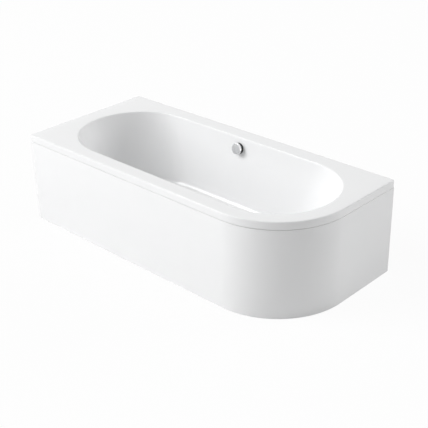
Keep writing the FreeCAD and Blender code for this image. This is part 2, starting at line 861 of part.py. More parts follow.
# ---------------------------------------------------------------- panel catches
def make_panel_catches():
    """Steel angles under the battens, their magnets, screws, and the plates on the panel."""
    brackets, screws, plates, magnets = [], [], [], []
    leg_depth = ("(batten_edge - panel_face + batten_width / 2 + bracket_margin"
                 " - bracket_standoff)")
    leg_height = "(catch_drop + magnet_radius + bracket_tail)"
    for index, place in enumerate(catch_places()):
        half = "-bracket_width / 2"
        flat = catch_block(f"catch_flat_{index}", place, half, "bracket_standoff",
                           "batten_bottom - bracket_steel",
                           ("bracket_width", leg_depth, "bracket_steel"))
        upright = catch_block(f"catch_upright_{index}", place, half, "bracket_standoff",
                              f"batten_bottom - {leg_height}",
                              ("bracket_width", "bracket_steel", leg_height))
        x, y = catch_screw_point(place)
        hole = screw_hole(f"catch_hole_{index}", (x, y, "batten_bottom - bracket_steel"),
                          "bracket_steel")
        angle = fuse(f"catch_angle_{index}", [flat, upright])
        brackets.append(cut(f"catch_bracket_{index}", angle, [hole]))
        screws.append(wood_screw(f"catch_screw_{index}",
                                 (x, y, "batten_bottom - bracket_steel"), "bracket_steel"))
        plates.append(panel_plate(f"catch_plate_{index}", place, "catch_height"))
        magnets.append(panel_magnet(f"catch_magnet_{index}", place, "catch_height"))
    keep(group("catch_brackets", brackets), "panel_brackets")
    keep(group("catch_screws", screws), "panel_bracket_screws")
    for index, side in enumerate(("-rail_x", "rail_x")):
        place = (side, "-half_width + panel_face", 0)
        height = "web_top + strut_rise - magnet_radius"
        plates.append(panel_plate(f"strut_plate_{index}", place, height))
        magnets.append(panel_magnet(f"strut_magnet_{index}", place, height))
    keep(group("catch_plates", plates), "panel_strike_plates")
    keep(group("catch_magnets", magnets), "panel_magnets")


def panel_plate(name, place, height):
    """A small steel plate bonded to the inner face of the panel."""
    bow = "plate_bow" if place[2] == 45 else "0"
    return catch_block(name, place, "-plate_width / 2", bow, f"{height} - plate_width / 2",
                       ("plate_width", f"plate_steel - {bow}", "plate_width"))


def panel_magnet(name, place, height):
    """A pot magnet on the bracket, just short of its plate."""
    magnet = DOC.addObject("Part::Cylinder", name)
    flat = Rotation(Vector(1, 0, 0), 90)
    magnet.Placement = Placement(Vector(), Rotation(Vector(0, 0, 1), place[2]) * flat)
    bind(magnet, Radius="magnet_radius", Height="magnet_height")
    x, y = catch_point(place, "0", "bracket_standoff")
    return move(magnet, x, y, height)


def make_struts():
    """Two flat bars from the rails to the foot of the panel, each turned up at its end."""
    struts, screws = [], []
    reach = "-half_width + panel_face + bracket_standoff"
    rail_front = "waste_y - rail_length / 2"
    for index, side in enumerate(("-rail_x", "rail_x")):
        flat = block(f"strut_flat_{index}", (f"{side} - strut_width / 2", reach, "web_top"),
                     ("strut_width", f"{rail_front} + strut_overlap - ({reach})",
                      "bracket_steel"))
        upright = block(f"strut_upright_{index}",
                        (f"{side} - strut_width / 2", reach, "web_top"),
                        ("strut_width", "bracket_steel", "strut_rise"))
        at = (side, f"{rail_front} + strut_screw_inset", "rail_bottom")
        hole = screw_hole(f"strut_hole_{index}", at, "rail_steel + bracket_steel")
        bent = fuse(f"strut_bent_{index}", [flat, upright])
        struts.append(cut(f"strut_bar_{index}", bent, [hole]))
        screws.append(wood_screw(f"strut_screw_{index}", at, "rail_steel + bracket_steel",
                                 "strut_screw_tail"))
    keep(group("strut_bars", struts), "panel_struts")
    keep(group("strut_bolts", screws), "panel_strut_screws")


# ---------------------------------------------------------------- wall brackets
def wall_bracket_profile(wall, inwards):
    """Section of a cranked bracket, in distance along the wall's normal and height."""
    steel = "bracket_steel"
    seat = "batten_bottom"
    crank = "(lip_bottom - bracket_crank_drop)"
    foot = "(batten_bottom - wall_bracket_drop)"
    near, far = "batten_edge", "(batten_edge + batten_width / 2 + bracket_margin)"
    distances = (
        (far, seat), (near, seat), (near, crank), ("0", crank), ("0", foot),
        (steel, foot), (steel, f"{crank} - {steel}"), (f"{near} + {steel}", f"{crank} - {steel}"),
        (f"{near} + {steel}", f"{seat} - {steel}"), (far, f"{seat} - {steel}"),
    )
    return [(f"{wall} {inwards} ({distance})", height) for distance, height in distances]


def make_wall_brackets():
    """Cranked steel brackets that reach from the battens to the two walls."""
    back, left, screws = [], [], []
    half = "bracket_width / 2"
    hole_z = "batten_bottom - wall_bracket_drop + wall_hole_rise"
    screw_z = "batten_bottom - bracket_steel"
    for index, x in enumerate(LONG_BRACKETS):
        angle = bar(f"back_bracket_bar_{index}", "YZ_Plane",
                    wall_bracket_profile("half_width", "-"), f"{x} - {half}", "bracket_width")
        seat = (x, f"{BACK_EDGE} - batten_width / 2", screw_z)
        holes = [rod(f"back_wall_hole_{index}", "wall_hole_radius", "4 * bracket_steel",
                     (x, "half_width - 3 * bracket_steel", hole_z), "Y"),
                 screw_hole(f"back_seat_hole_{index}", seat, "bracket_steel")]
        back.append(cut(f"back_bracket_{index}", angle, holes))
        screws.append(wood_screw(f"back_screw_{index}", seat, "bracket_steel"))
    for index, y in enumerate(LEFT_BRACKETS):
        angle = bar(f"left_bracket_bar_{index}", "XZ_Plane",
                    wall_bracket_profile("-half_length", "+"), f"-({y}) - {half}",
                    "bracket_width")
        seat = (f"{LEFT_END} + batten_width / 2", y, screw_z)
        holes = [rod(f"left_wall_hole_{index}", "wall_hole_radius", "4 * bracket_steel",
                     ("-half_length - bracket_steel", y, hole_z), "X"),
                 screw_hole(f"left_seat_hole_{index}", seat, "bracket_steel")]
        left.append(cut(f"left_bracket_{index}", angle, holes))
        screws.append(wood_screw(f"left_screw_{index}", seat, "bracket_steel"))
    keep(group("back_brackets", back), "wall_brackets_back")
    keep(group("left_brackets", left), "wall_brackets_left")
    keep(group("wall_bracket_seat_screws", screws), "wall_bracket_screws")


# ---------------------------------------------------------------- base board, rails and feet
def rail_screw_points():
    """Screws through the rails' lips into the base board, as (x, y) pairs."""
    points = []
    lip_middle = "(rail_width / 2 + rail_lip / 2 - rail_steel / 2)"
    for side in ("-rail_x", "rail_x"):
        for lip in ("-", "+"):
            for end in ("-", "+"):
                points.append((f"{side} {lip} {lip_middle}", f"waste_y {end} board_width / 3"))
    return points


def make_base_board():
    """Chipboard bonded under the basin's floor, with a round cut-out for the waste."""
    board = block("board_blank", ("basin_x - board_length / 2", "waste_y - board_width / 2",
                                  "board_bottom"),
                  ("board_length", "board_width", "board_height"))
    tools = [rod("board_cutout", "board_cutout_radius", "board_height",
                 ("waste_x", "waste_y", "board_bottom"))]
    for index, (x, y) in enumerate(rail_screw_points()):
        tools.append(screw_hole(f"board_hole_{index}", (x, y, "board_bottom"), "screw_bite"))
    keep(cut("board_drilled", board, tools), "base_board")


def rail_profile(side):
    """Hat section of a rail, open upwards, with a lip along each side."""
    half, steel = "(rail_width / 2)", "rail_steel"
    lip = "(rail_width / 2 + rail_lip)"
    top, low = "board_bottom", "rail_bottom"
    inner = f"({half} - {steel})"
    section = (
        ("-", lip, top), ("-", inner, top), ("-", inner, f"{low} + {steel}"),
        ("+", inner, f"{low} + {steel}"), ("+", inner, top), ("+", lip, top),
        ("+", lip, f"{top} - {steel}"), ("+", half, f"{top} - {steel}"), ("+", half, low),
        ("-", half, low), ("-", half, f"{top} - {steel}"), ("-", lip, f"{top} - {steel}"),
    )
    return [(f"{side} {sign} {reach}", height) for sign, reach, height in section]


def make_rails():
    """Two pressed-steel rails across the base board, and the screws that hold them."""
    screws = [wood_screw(f"rail_screw_{index}", (x, y, "board_bottom - rail_steel"),
                         "rail_steel")
              for index, (x, y) in enumerate(rail_screw_points())]
    for label, side, used in (("left", "-rail_x", slice(0, 4)), ("right", "rail_x", slice(4, 8))):
        rail = bar(f"{label}_rail_bar", "XZ_Plane", rail_profile(side),
                   "-waste_y - rail_length / 2", "rail_length")
        holes = [rod(f"{label}_stud_hole_{end}", "stud_radius + stud_hole_play", "rail_steel",
                     (side, f"waste_y {sign} foot_y", "rail_bottom"))
                 for end, sign in (("front", "-"), ("back", "+"))]
        for index, (x, y) in enumerate(rail_screw_points()[used]):
            holes.append(screw_hole(f"{label}_rail_hole_{index}",
                                    (x, y, "board_bottom - rail_steel"), "rail_steel"))
        strut_bolt = (side, "waste_y - rail_length / 2 + strut_screw_inset", "rail_bottom")
        holes.append(screw_hole(f"{label}_strut_hole", strut_bolt, "rail_steel"))
        keep(cut(f"{label}_rail_drilled", rail, holes), f"leg_rail_{label}")
    keep(group("rail_screw_set", screws), "rail_screws")


def make_feet():
    """Four levelling feet: a threaded stud in a moulded foot, and two lock nuts on each."""
    nuts = []
    for row, sign in (("front", "-"), ("back", "+")):
        for label, side in (("left", "-rail_x"), ("right", "rail_x")):
            where = (side, f"waste_y {sign} foot_y")
            place = f"{row}_{label}"
            stud = rod(f"stud_{place}", "stud_radius", "stud_top - stud_seat",
                       (*where, "stud_seat"))
            keep(stud, f"foot_stud_{place}")
            foot = turned(f"foot_body_{place}", (
                ("0", "0"), ("foot_radius", "0"), ("foot_radius", "foot_edge"),
                ("stud_radius + foot_neck_wall + foot_shoulder", "foot_height - foot_crown"),
                ("stud_radius + foot_neck_wall", "foot_height"),
                ("stud_radius", "foot_height"), ("stud_radius", "stud_seat"),
                ("0", "stud_seat")))
            move(foot, *where)
            keep(foot, f"foot_pad_{place}")
            nuts.append(hexagon_nut(f"nut_under_{place}",
                                    (*where, "rail_bottom - nut_height")))
            nuts.append(hexagon_nut(f"nut_over_{place}", (*where, "web_top")))
    keep(group("stud_nuts", nuts), "foot_lock_nuts")


# ---------------------------------------------------------------- overflow, in the wall's frame
def on_wall(thing, out="0"):
    """Puts a piece made about the origin onto the sloping back wall, its Z into the basin."""
    thing.Placement = Placement(Vector(), Rotation(Vector(1, 0, 0), 80))
    thing.setExpression("Placement.Rotation.Angle", expand("90deg - wall_tilt"))
    return move(thing, "waste_x", f"overflow_y - ({out}) * cos(wall_tilt)",
                f"overflow_z + ({out}) * sin(wall_tilt)")


def wall_point(across, up, out):
    """A point given along the back wall, up the slope and out into the basin."""
    tilt = math.radians(number("wall_tilt"))
    rise, depth = number(up), number(out)
    return Vector(number("waste_x") + number(across),
                  number("overflow_y") + rise * math.sin(tilt) - depth * math.cos(tilt),
                  number("overflow_z") + rise * math.cos(tilt) + depth * math.sin(tilt))


def make_overflow():
    """The overflow housing behind the back wall, its gasket, face plate and two screws."""
    gasket = tube("gasket_ring", "overflow_flange_radius - gasket_margin",
                  "overflow_hole_radius", "gasket_height", ("0", "0", "gasket_back"))
    keep(on_wall(gasket), "overflow_gasket")
    inner = "(overflow_cup_radius - overflow_cup_wall)"
    shaft = "(spindle_radius + spindle_play)"
    cup = turned("overflow_cup", (
        (shaft, "cup_back"), ("overflow_cup_radius", "cup_back"),
        ("overflow_cup_radius", "gasket_back - overflow_flange_wall"),
        ("overflow_flange_radius", "gasket_back - overflow_flange_wall"),
        ("overflow_flange_radius", "gasket_back"), (inner, "gasket_back"),
        (inner, "cup_back + overflow_cup_wall"),
        ("bearing_radius", "cup_back + overflow_cup_wall"),
        ("bearing_radius", "cup_back + bearing_length"), (shaft, "cup_back + bearing_length")))
    down = "overflow_cup_radius - overflow_cup_wall / 2"
    solids = [
        rod("overflow_collar", "spigot_radius + spigot_shoulder", f"collar_end - ({down})",
            ("0", f"-({down})", "cup_middle"), "-Y"),
        rod("overflow_spigot", "spigot_radius", f"spigot_end - ({down})",
            ("0", f"-({down})", "cup_middle"), "-Y"),
        rod("overflow_gland", "gland_radius", "gland_end - gland_start",
            ("cable_shift", "-gland_start", "cup_middle"), "-Y"),
    ]
    holes = [
        rod("overflow_spigot_bore", "spigot_bore", "spigot_end - spigot_start",
            ("0", "-spigot_start", "cup_middle"), "-Y"),
        rod("overflow_gland_bore", "cable_core_radius", "gland_end - gland_bore_start",
            ("cable_shift", "-gland_bore_start", "cup_middle"), "-Y"),
    ]
    for index, x in enumerate(("-overflow_screw_reach", "overflow_screw_reach")):
        start = (x, "0", "cup_back + overflow_cup_wall / 2")
        solids.append(rod(f"overflow_boss_{index}", "screw_boss_radius",
                          "overflow_cup_depth - overflow_cup_wall / 2 - screw_boss_gap", start))
        holes.append(rod(f"overflow_boss_hole_{index}", "screw_radius",
                         "overflow_cup_depth - screw_boss_floor",
                         (x, "0", "cup_back + screw_boss_floor")))
    whole = fuse("overflow_solid", [cup] + solids)
    keep(on_wall(cut("overflow_housing_local", whole, holes)), "overflow_housing")
    make_faceplate()


def make_faceplate():
    """The drilled plate that clamps the housing to the wall, and its two screws."""
    plate = rod("plate_disc", "faceplate_radius", "faceplate_height", ("0", "0", "0"))
    tools = [rod("plate_bore", "spindle_radius + spindle_play", "faceplate_height",
                 ("0", "0", "0"))]
    for index, angle in enumerate(WATER_HOLES):
        tools.append(rod(f"plate_water_hole_{index}", "water_hole_radius", "faceplate_height",
                         (f"water_hole_circle * cos({angle}deg)",
                          f"water_hole_circle * sin({angle}deg)", "0")))
    screws = []
    for index, x in enumerate(("-overflow_screw_reach", "overflow_screw_reach")):
        tools.append(rod(f"plate_screw_hole_{index}", "screw_radius", "faceplate_height",
                         (x, "0", "0")))
        shank = rod(f"plate_shank_{index}", "screw_radius",
                    "faceplate_height + overflow_screw_length",
                    (x, "0", "-overflow_screw_length"))
        head = rod(f"plate_head_{index}", "screw_head_radius", "overflow_head_height",
                   (x, "0", "faceplate_height"))
        screws.append(fuse(f"plate_screw_{index}", [shank, head]))
    keep(on_wall(cut("plate_drilled", plate, tools)), "overflow_faceplate")
    keep(on_wall(group("plate_screws", screws)), "overflow_screws")


def make_knob():
    """The rotary knob with its spindle, cable wheel and grub screw."""
    hub_end = "(faceplate_height + knob_hub_gap)"
    hub = "spindle_radius + knob_hub_wall"
    socket = "(knob_rise - knob_socket_cover)"
    face_under = "(knob_rise - knob_wall)"
    knob = turned("knob_shape", (
        ("0", socket), ("spindle_radius", socket), ("spindle_radius", hub_end),
        (hub, hub_end), (hub, face_under), ("knob_face_radius - knob_face_step", face_under),
        ("knob_radius - knob_wall", "knob_wall_gap"),
        ("knob_radius", "knob_wall_gap"), ("knob_radius", "knob_wall_gap + knob_band"),
        ("knob_face_radius", "knob_rise"), ("0", "knob_rise")))
    DOC.recompute()
    edges = [f"Edge{index}" for index, edge in enumerate(knob.Shape.Edges, start=1)
             if edge.BoundBox.ZLength < 0.01 and edge.BoundBox.ZMin > number(hub_end)
             and edge.BoundBox.XMax > number("knob_face_radius") - 0.01]
    round_edges(knob, "knob_rounding", knob.Tip, edges, "knob_round")
    grub = ("0", "-spindle_radius", "knob_rise - grub_drop")
    hole = rod("knob_grub_hole", "grub_radius", "grub_length + grub_play", grub, "-Y")
    keep(on_wall(cut("knob_bored", knob, [hole])), "overflow_knob")
    screw = rod("grub_rod", "grub_radius", "grub_length", grub, "-Y")
    keep(on_wall(group("grub_screw", [screw])), "knob_grub_screw")
    spindle = rod("spindle_rod", "spindle_radius", f"{socket} - cup_back - spindle_setback",
                  ("0", "0", "cup_back + spindle_setback"))
    keep(on_wall(group("spindle_set", [spindle])), "knob_spindle")
    back = "(cup_back + bearing_length + wheel_gap)"
    wheel = turned("wheel_shape", (
        ("spindle_radius", back), ("wheel_radius", back),
        ("wheel_radius", f"{back} + wheel_height / 4"),
        ("wheel_radius - wheel_groove", f"{back} + wheel_height / 2"),
        ("wheel_radius", f"{back} + wheel_height * 3 / 4"),
        ("wheel_radius", f"{back} + wheel_height"),
        ("spindle_radius", f"{back} + wheel_height")))
    keep(on_wall(wheel), "cable_wheel")


# ---------------------------------------------------------------- hose and control cable
def drop_path(across, start_up, height, end_y, radius):
    """Down the back of the wall, round one bend, then forwards: two lines and an arc."""
    start = wall_point(across, start_up, "cup_middle")
    tilt = math.radians(number("wall_tilt"))
    down = Vector(0, -math.sin(tilt), -math.cos(tilt))
    corner = start + down * ((start.z - number(height)) / math.cos(tilt))
    forward = Vector(0, -1, 0)
    end = Vector(start.x, number(end_y), corner.z)
    turn = down.getAngle(forward)
    reach = number(radius) * math.tan(turn / 2)
    first, second = corner - down * reach, corner + forward * reach
    return start, first, corner, second, end, down, forward, turn


def path_length(path, radius):
    """Length of a drop path along its middle line."""
    start, first, _, second, end, _, _, turn = path
    return (first - start).Length + number(radius) * turn + (end - second).Length


def point_on(path, radius, distance):
    """The point and heading at a distance along a drop path."""
    start, first, _, second, _, down, forward, turn = path
    straight = (first - start).Length
    bend = number(radius)
    if distance <= straight:
        return start + down * distance, down
    swept = (distance - straight) / bend
    if swept < turn:
        side = (forward - down * down.dot(forward)).normalize()
        heading = down * math.cos(swept) + side * math.sin(swept)
        centre = first + side * bend
        return centre + (down * math.sin(swept) - side * math.cos(swept)) * bend, heading
    return second + forward * (distance - straight - bend * turn), forward


def ring_on(place, heading, radius):
    """A circle square to the path, its start kept on the steady X side."""
    across = Vector(1, 0, 0)
    circle = Part.Circle(place, heading, radius)
    circle.XAxis = across
    return Part.Wire(circle.toShape())


def make_hose():
    """The ribbed overflow hose, from the housing's spigot to the waste body's."""
    bend = "hose_bend"
    path = drop_path("0", "-collar_end", "hose_height", "waste_y + waste_collar_end", bend)
    total = path_length(path, bend)
    outer, root = number("hose_radius"), number("hose_radius - hose_rib_depth")
    cuff = number("2 * hose_radius")
    ribs = max(1, round((total - 2 * cuff) / number("hose_rib_pitch")))
    pitch = (total - 2 * cuff) / ribs
    stations = [(0, outer)]
    for index in range(ribs):
        start = cuff + index * pitch
        stations += [(start, outer), (start + RIB_FALL * pitch, root),
                     (start + RIB_FLOOR * pitch, root), (start + RIB_RISE * pitch, outer)]
    stations += [(total - cuff, outer), (total, outer)]
    sections = [ring_on(*point_on(path, bend, where), radius) for where, radius in stations]
    skin = Part.makeLoft(sections, True, True)
    straight = (path[1] - path[0]).Length
    swept = number(bend) * path[7]
    bore_stations = [0.0, straight, total]
    bore_stations[2:2] = [straight + swept * step / BORE_STEPS
                          for step in range(1, BORE_STEPS + 1)]
    bore_rings = [ring_on(*point_on(path, bend, where), number("hose_bore"))
                  for where in bore_stations]
    bore = Part.makeLoft(bore_rings, True, True)
    hose = DOC.addObject("Part::Feature", "hose_shape")
    hose.Shape = skin.cut(bore)
    print(f"hose length {total:.1f} mm, {ribs} ribs, bend radius {number(bend):.1f} mm")
    keep(hose, "overflow_hose")
    nut = ("hose_nut_radius", "hose_radius + hose_nut_play", "hose_nut_height")
    upper = ("0", "-collar_end - hose_nut_overlap", "cup_middle")
    keep(on_wall(tube("upper_nut", *nut, upper, "-Y")), "hose_nut_upper")
    lower = ("waste_x", "waste_y + waste_collar_end + hose_nut_overlap", "hose_height")
    keep(tube("lower_nut", *nut, lower, "Y"), "hose_nut_lower")


def make_cable():
    """The sheath of the control cable, from the housing's gland to the waste body's."""
    bend = "cable_bend"
    path = drop_path("cable_shift", "-gland_end", "cable_height",
                     "waste_y + waste_gland_end", bend)
    start, first, corner, second, end, _, _, _ = path
    middle = point_on(path, bend, (path_length(path, bend) - (end - second).Length
                                   + (first - start).Length) / 2)[0]
    spine = Part.Wire([Part.LineSegment(start, first).toShape(),
                       Part.Arc(first, middle, second).toShape(),
                       Part.LineSegment(second, end).toShape()])
    radius = number("cable_radius")
    section = ring_on(start, path[5], radius)
    cable = DOC.addObject("Part::Feature", "cable_shape")
    cable.Shape = spine.makePipeShell([section], True, False)
    share = cable.Shape.Volume / (math.pi * radius ** 2 * path_length(path, bend))
    print(f"cable length {path_length(path, bend):.1f} mm, volume share {share:.4f}")
    keep(cable, "control_cable")


# ---------------------------------------------------------------- waste, plug and lever
def make_waste():
    """The waste flange with its guide, the two seals and the moulded waste body."""
    where = ("waste_x", "waste_y")
    ring = turned("waste_ring", (
        ("waste_bore", "sleeve_bottom"), ("sleeve_radius", "sleeve_bottom"),
        ("sleeve_radius", "flange_seat"), ("waste_flange_radius", "flange_seat"),
        ("waste_flange_radius", "flange_seat + flange_edge"),
        ("waste_flange_radius - flange_bevel", "flange_top"),
        ("waste_bore + bore_bevel", "flange_top"), ("waste_bore", "flange_top - bore_bevel")))
    guide_z = "(sleeve_bottom + guide_rise)"
    solids = [ring, rod("guide_hub", "stem_radius + guide_wall", "guide_height",
                        ("0", "0", guide_z))]
    for index, angle in enumerate(GUIDE_ARMS):
        arm = turn_about_z(DOC.addObject("Part::Box", f"guide_arm_{index}"), angle)
        bind(arm, Length="waste_bore + waste_sleeve_wall / 3", Width="guide_arm_width",
             Height="guide_height")
        move(arm, f"guide_arm_width / 2 * sin({angle}deg)",
             f"-guide_arm_width / 2 * cos({angle}deg)", guide_z)
        solids.append(arm)
    whole = fuse("waste_guide", solids)
    bore = rod("guide_bore", "stem_radius + stem_play", "3 * guide_height",
               ("0", "0", f"{guide_z} - guide_height"))
    keep(move(cut("waste_flange_bored", whole, [bore]), *where), "waste_flange")
    keep(tube("flange_foam", "waste_flange_radius - flange_seal_margin", "waste_hole_radius",
              "flange_seal_height", (*where, "floor_top")), "waste_seal_upper")
    keep(tube("body_rubber", "body_flange_radius", "sleeve_radius + sleeve_play",
              "gasket_height", (*where, "body_top")), "waste_seal_lower")
    make_waste_body(where)


def make_waste_body(where):
    """The cup under the floor, with an outlet, a hose spigot and a cable gland."""
    collar = "(sleeve_radius + sleeve_play / 2)"
    neck = "(waste_cup_bore + waste_neck_step)"
    flange_under, roof = "body_top - body_flange_height", "cup_top - waste_cup_roof"
    cup = turned("waste_cup", (
        ("waste_outlet_bore", "cup_bottom - waste_outlet_length"),
        ("waste_outlet_radius", "cup_bottom - waste_outlet_length"),
        ("waste_outlet_radius", "cup_bottom"), ("waste_cup_radius", "cup_bottom"),
        ("waste_cup_radius", "cup_top"), (neck, "cup_top"), (neck, flange_under),
        ("body_flange_radius", flange_under), ("body_flange_radius", "body_top"),
        (collar, "body_top"), (collar, roof), ("waste_cup_bore", roof),
        ("waste_cup_bore", "cup_floor_top"), ("waste_outlet_bore", "cup_floor_top")))
    wall = "(waste_cup_bore + waste_collar_bite)"
    solids = [cup,
              rod("waste_collar", "spigot_radius + spigot_shoulder",
                  f"waste_collar_end - {wall}", ("0", wall, "hose_height"), "Y"),
              rod("waste_spigot", "spigot_radius", f"waste_spigot_end - {wall}",
                  ("0", wall, "hose_height"), "Y"),
              rod("waste_gland", "gland_radius", "waste_gland_end - waste_gland_start",
                  ("cable_shift", "waste_gland_start", "cable_height"), "Y")]
    holes = [rod("waste_spigot_hole", "spigot_bore", "waste_spigot_end - spigot_start",
                 ("0", "spigot_start", "hose_height"), "Y"),
             rod("waste_gland_hole", "cable_core_radius", "waste_gland_end",
                 ("cable_shift", "0", "cable_height"), "Y"),
             rod("waste_pin_hole", "pin_radius", "pin_length",
                 ("-pin_length / 2", "lever_reach", "lever_z"), "X")]
    body = cut("waste_body_bored", fuse("waste_body_solid", solids), holes)
    keep(move(body, *where), "waste_body")
    keep(rod("lever_pin", "pin_radius", "pin_length",
             ("waste_x - pin_length / 2", "lever_y", "lever_z"), "X"), "lever_pin")


def make_plug():
    """The lifting plug: chromed cap, rubber seal and stem."""
    where = ("waste_x", "waste_y")
    groove_low = "(boss_bottom + plug_groove_rise)"
    groove_high = f"({groove_low} + plug_groove_height)"
    groove = "(plug_boss_radius - plug_groove_depth)"
    cap = turned("plug_cap", (
        ("0", "stem_top"), ("stem_radius", "stem_top"), ("stem_radius", "boss_bottom"),
        ("plug_boss_radius", "boss_bottom"), ("plug_boss_radius", groove_low),
        (groove, groove_low), (groove, groove_high), ("plug_boss_radius", groove_high),
        ("plug_boss_radius", "plug_under"), ("plug_radius", "plug_under"),
        ("plug_radius", f"plug_under + plug_dome * {PLUG_EDGE}"),
        ("plug_radius - plug_bevel", f"plug_under + plug_dome * {PLUG_SHOULDER}"),
        ("plug_radius / 2", f"plug_under + plug_dome * {PLUG_CROWN}"),
        ("0", "plug_under + plug_dome")))
    keep(move(cap, *where), "waste_plug")
    keep(tube("seal_ring", "waste_bore - seal_gap", groove, "plug_groove_height",
              (*where, groove_low)), "plug_seal")
    keep(rod("stem_rod", "stem_radius", "stem_top - stem_bottom", (*where, "stem_bottom")),
         "plug_stem")


def make_lever():
    """The bell-crank lever under the stem, drawn level and then let down by half its swing."""
    side = "-lever_width / 2"
    hub = rod("lever_hub", "lever_hub_radius", "lever_hub_length",
              ("-lever_hub_side", "0", "0"), "X")
    arm = block("lever_arm", (side, "-lever_reach", "-lever_tip_radius"),
                ("lever_width", "lever_reach", "lever_tip_radius"))
    tip = rod("lever_tip", "lever_tip_radius", "lever_width", (side, "-lever_reach", "0"), "X")
    crank_x = "lever_hub_length - lever_hub_side - crank_width - 1"
    crank = block("lever_crank", (crank_x, "-crank_thickness / 2", "0"),
                  ("crank_width", "crank_thickness", "crank_reach"))
    whole = fuse("lever_solid", [hub, arm, tip, crank])
    bore = rod("lever_bore", "pin_radius + stem_play", "2 * lever_hub_length",
               ("-lever_hub_length", "0", "0"), "X")
    lever = cut("lever_bored", whole, [bore])
    lever.Placement = Placement(Vector(), Rotation(Vector(1, 0, 0), 20))
    lever.setExpression("Placement.Rotation.Angle", expand("lever_swing * 0.5deg"))
    keep(move(lever, "waste_x", "lever_y", "lever_z"), "lift_lever")


# ---------------------------------------------------------------- trap and outlet
def trap_path(body, name):
    """The middle line of the trap: down, round the U-bend, up and level to the outlet."""
    sketch = new_sketch(body, name, "XZ_Plane")
    bend, elbow = number("trap_bend"), number("outlet_bend")
    top, low, level = number("trap_top"), number("trap_low_z"), number("outlet_z")
    rise = level - elbow
    side = Vector(0, 0, 1)
    sketch.addGeometry([
        Part.LineSegment(Vector(0, top, 0), Vector(0, low, 0)),
        Part.ArcOfCircle(Part.Circle(Vector(-bend, low, 0), side, bend), math.pi, 2 * math.pi),
        Part.LineSegment(Vector(-2 * bend, low, 0), Vector(-2 * bend, rise, 0)),
        Part.ArcOfCircle(Part.Circle(Vector(-2 * bend - elbow, rise, 0), side, elbow),
                         0, math.pi / 2),
        Part.LineSegment(Vector(-2 * bend - elbow, level, 0),
                         Vector(-2 * bend - elbow - number("outlet_run"), level, 0)),
    ])
    sketch.addConstraint([
        Sketcher.Constraint("Tangent", 0, 2, 1, 2),
        Sketcher.Constraint("Tangent", 1, 1, 2, 1),
        Sketcher.Constraint("Tangent", 2, 2, 3, 1),
        Sketcher.Constraint("Tangent", 3, 2, 4, 1),
        Sketcher.Constraint("Vertical", 0),
        Sketcher.Constraint("Vertical", 2),
        Sketcher.Constraint("Horizontal", 4),
    ])
    pin_point(sketch, 0, 1, "0", "trap_top")
    hold(sketch, "DistanceY", (-1, 1, 0, 2), "trap_low_z")
    hold(sketch, "Radius", (1,), "trap_bend")
    hold(sketch, "Radius", (3,), "outlet_bend")
    hold(sketch, "DistanceY", (-1, 1, 4, 2), "outlet_z")
    hold(sketch, "DistanceX", (-1, 1, 4, 2), "-2 * trap_bend - outlet_bend - outlet_run")
    return sketch


def round_profile(body, name, lift, radius, role="XY_Plane"):
    """A circle about the normal of one of the body's planes, at a distance along it."""
    sketch = new_sketch(body, name, role, lift)
    sketch.addGeometry(Part.Circle(Vector(), Vector(0, 0, 1), number(radius)))
    sketch.addConstraint(Sketcher.Constraint("Coincident", 0, 3, -1, 1))
    hold(sketch, "Radius", (0,), radius)
    return sketch


def trap_run(name, pipe):
    """The trap's course as one solid of a given pipe radius."""
    body = new_body(name)
    path = trap_path(body, name + "_path")
    run = body.newObject("PartDesign::AdditivePipe", name + "_run")
    run.Profile = round_profile(body, name + "_circle", "trap_top", pipe)
    run.Spine = (path, [f"Edge{index}" for index in range(1, 6)])
    return move(body, "waste_x", "waste_y", "0")


def pipe_path(body, name):
    """The middle line of the outlet pipe: out of the coupling and round to the back wall."""
    sketch = new_sketch(body, name)
    run, sweep = number("pipe_run"), number("pipe_sweep")
    reach = number("pipe_end_y - waste_y")
    sketch.addGeometry([
        Part.LineSegment(Vector(), Vector(-run, 0, 0)),
        Part.ArcOfCircle(Part.Circle(Vector(-run, sweep, 0), Vector(0, 0, 1), sweep),
                         math.pi, 3 * math.pi / 2),
        Part.LineSegment(Vector(-run - sweep, sweep, 0), Vector(-run - sweep, reach, 0)),
    ])
    sketch.addConstraint([
        Sketcher.Constraint("Coincident", 0, 1, -1, 1),
        Sketcher.Constraint("Tangent", 0, 2, 1, 2),
        Sketcher.Constraint("Tangent", 1, 1, 2, 1),
        Sketcher.Constraint("Horizontal", 0),
        Sketcher.Constraint("Vertical", 2),
    ])
    hold(sketch, "DistanceX", (-1, 1, 0, 2), "-pipe_run")
    hold(sketch, "Radius", (1,), "pipe_sweep")
    hold(sketch, "DistanceY", (-1, 1, 2, 2), "pipe_end_y - waste_y")
    return sketch


def pipe_run(name, radius):
    """The outlet pipe's course as one solid of a given radius."""
    body = new_body(name)
    path = pipe_path(body, name + "_path")
    run = body.newObject("PartDesign::AdditivePipe", name + "_run")
    run.Profile = round_profile(body, name + "_circle", "0", radius, "YZ_Plane")
    run.Spine = (path, [f"Edge{index}" for index in range(1, 4)])
    return move(body, "trap_end_x", "waste_y", "outlet_z")


def make_outlet():
    """The swept outlet pipe with its stop bead, and the coupling that joins it to the trap."""
    bead = rod("outlet_bead", "pipe_radius + pipe_bead_height", "pipe_bead_width",
               ("pipe_x", "pipe_end_y - pipe_bead_setback - pipe_bead_width", "outlet_z"), "Y")
    outside = fuse("outlet_outside", [pipe_run("outlet_outer", "pipe_radius"), bead])
    keep(cut("outlet_hollow", outside, [pipe_run("outlet_inner", "pipe_bore")]), "outlet_pipe")
    keep(tube("coupling_tube", "pipe_radius + coupling_wall", "pipe_radius + coupling_play",
              "coupling_length", ("trap_end_x + coupling_length / 2", "waste_y", "outlet_z"),
              "-X"), "outlet_coupling")


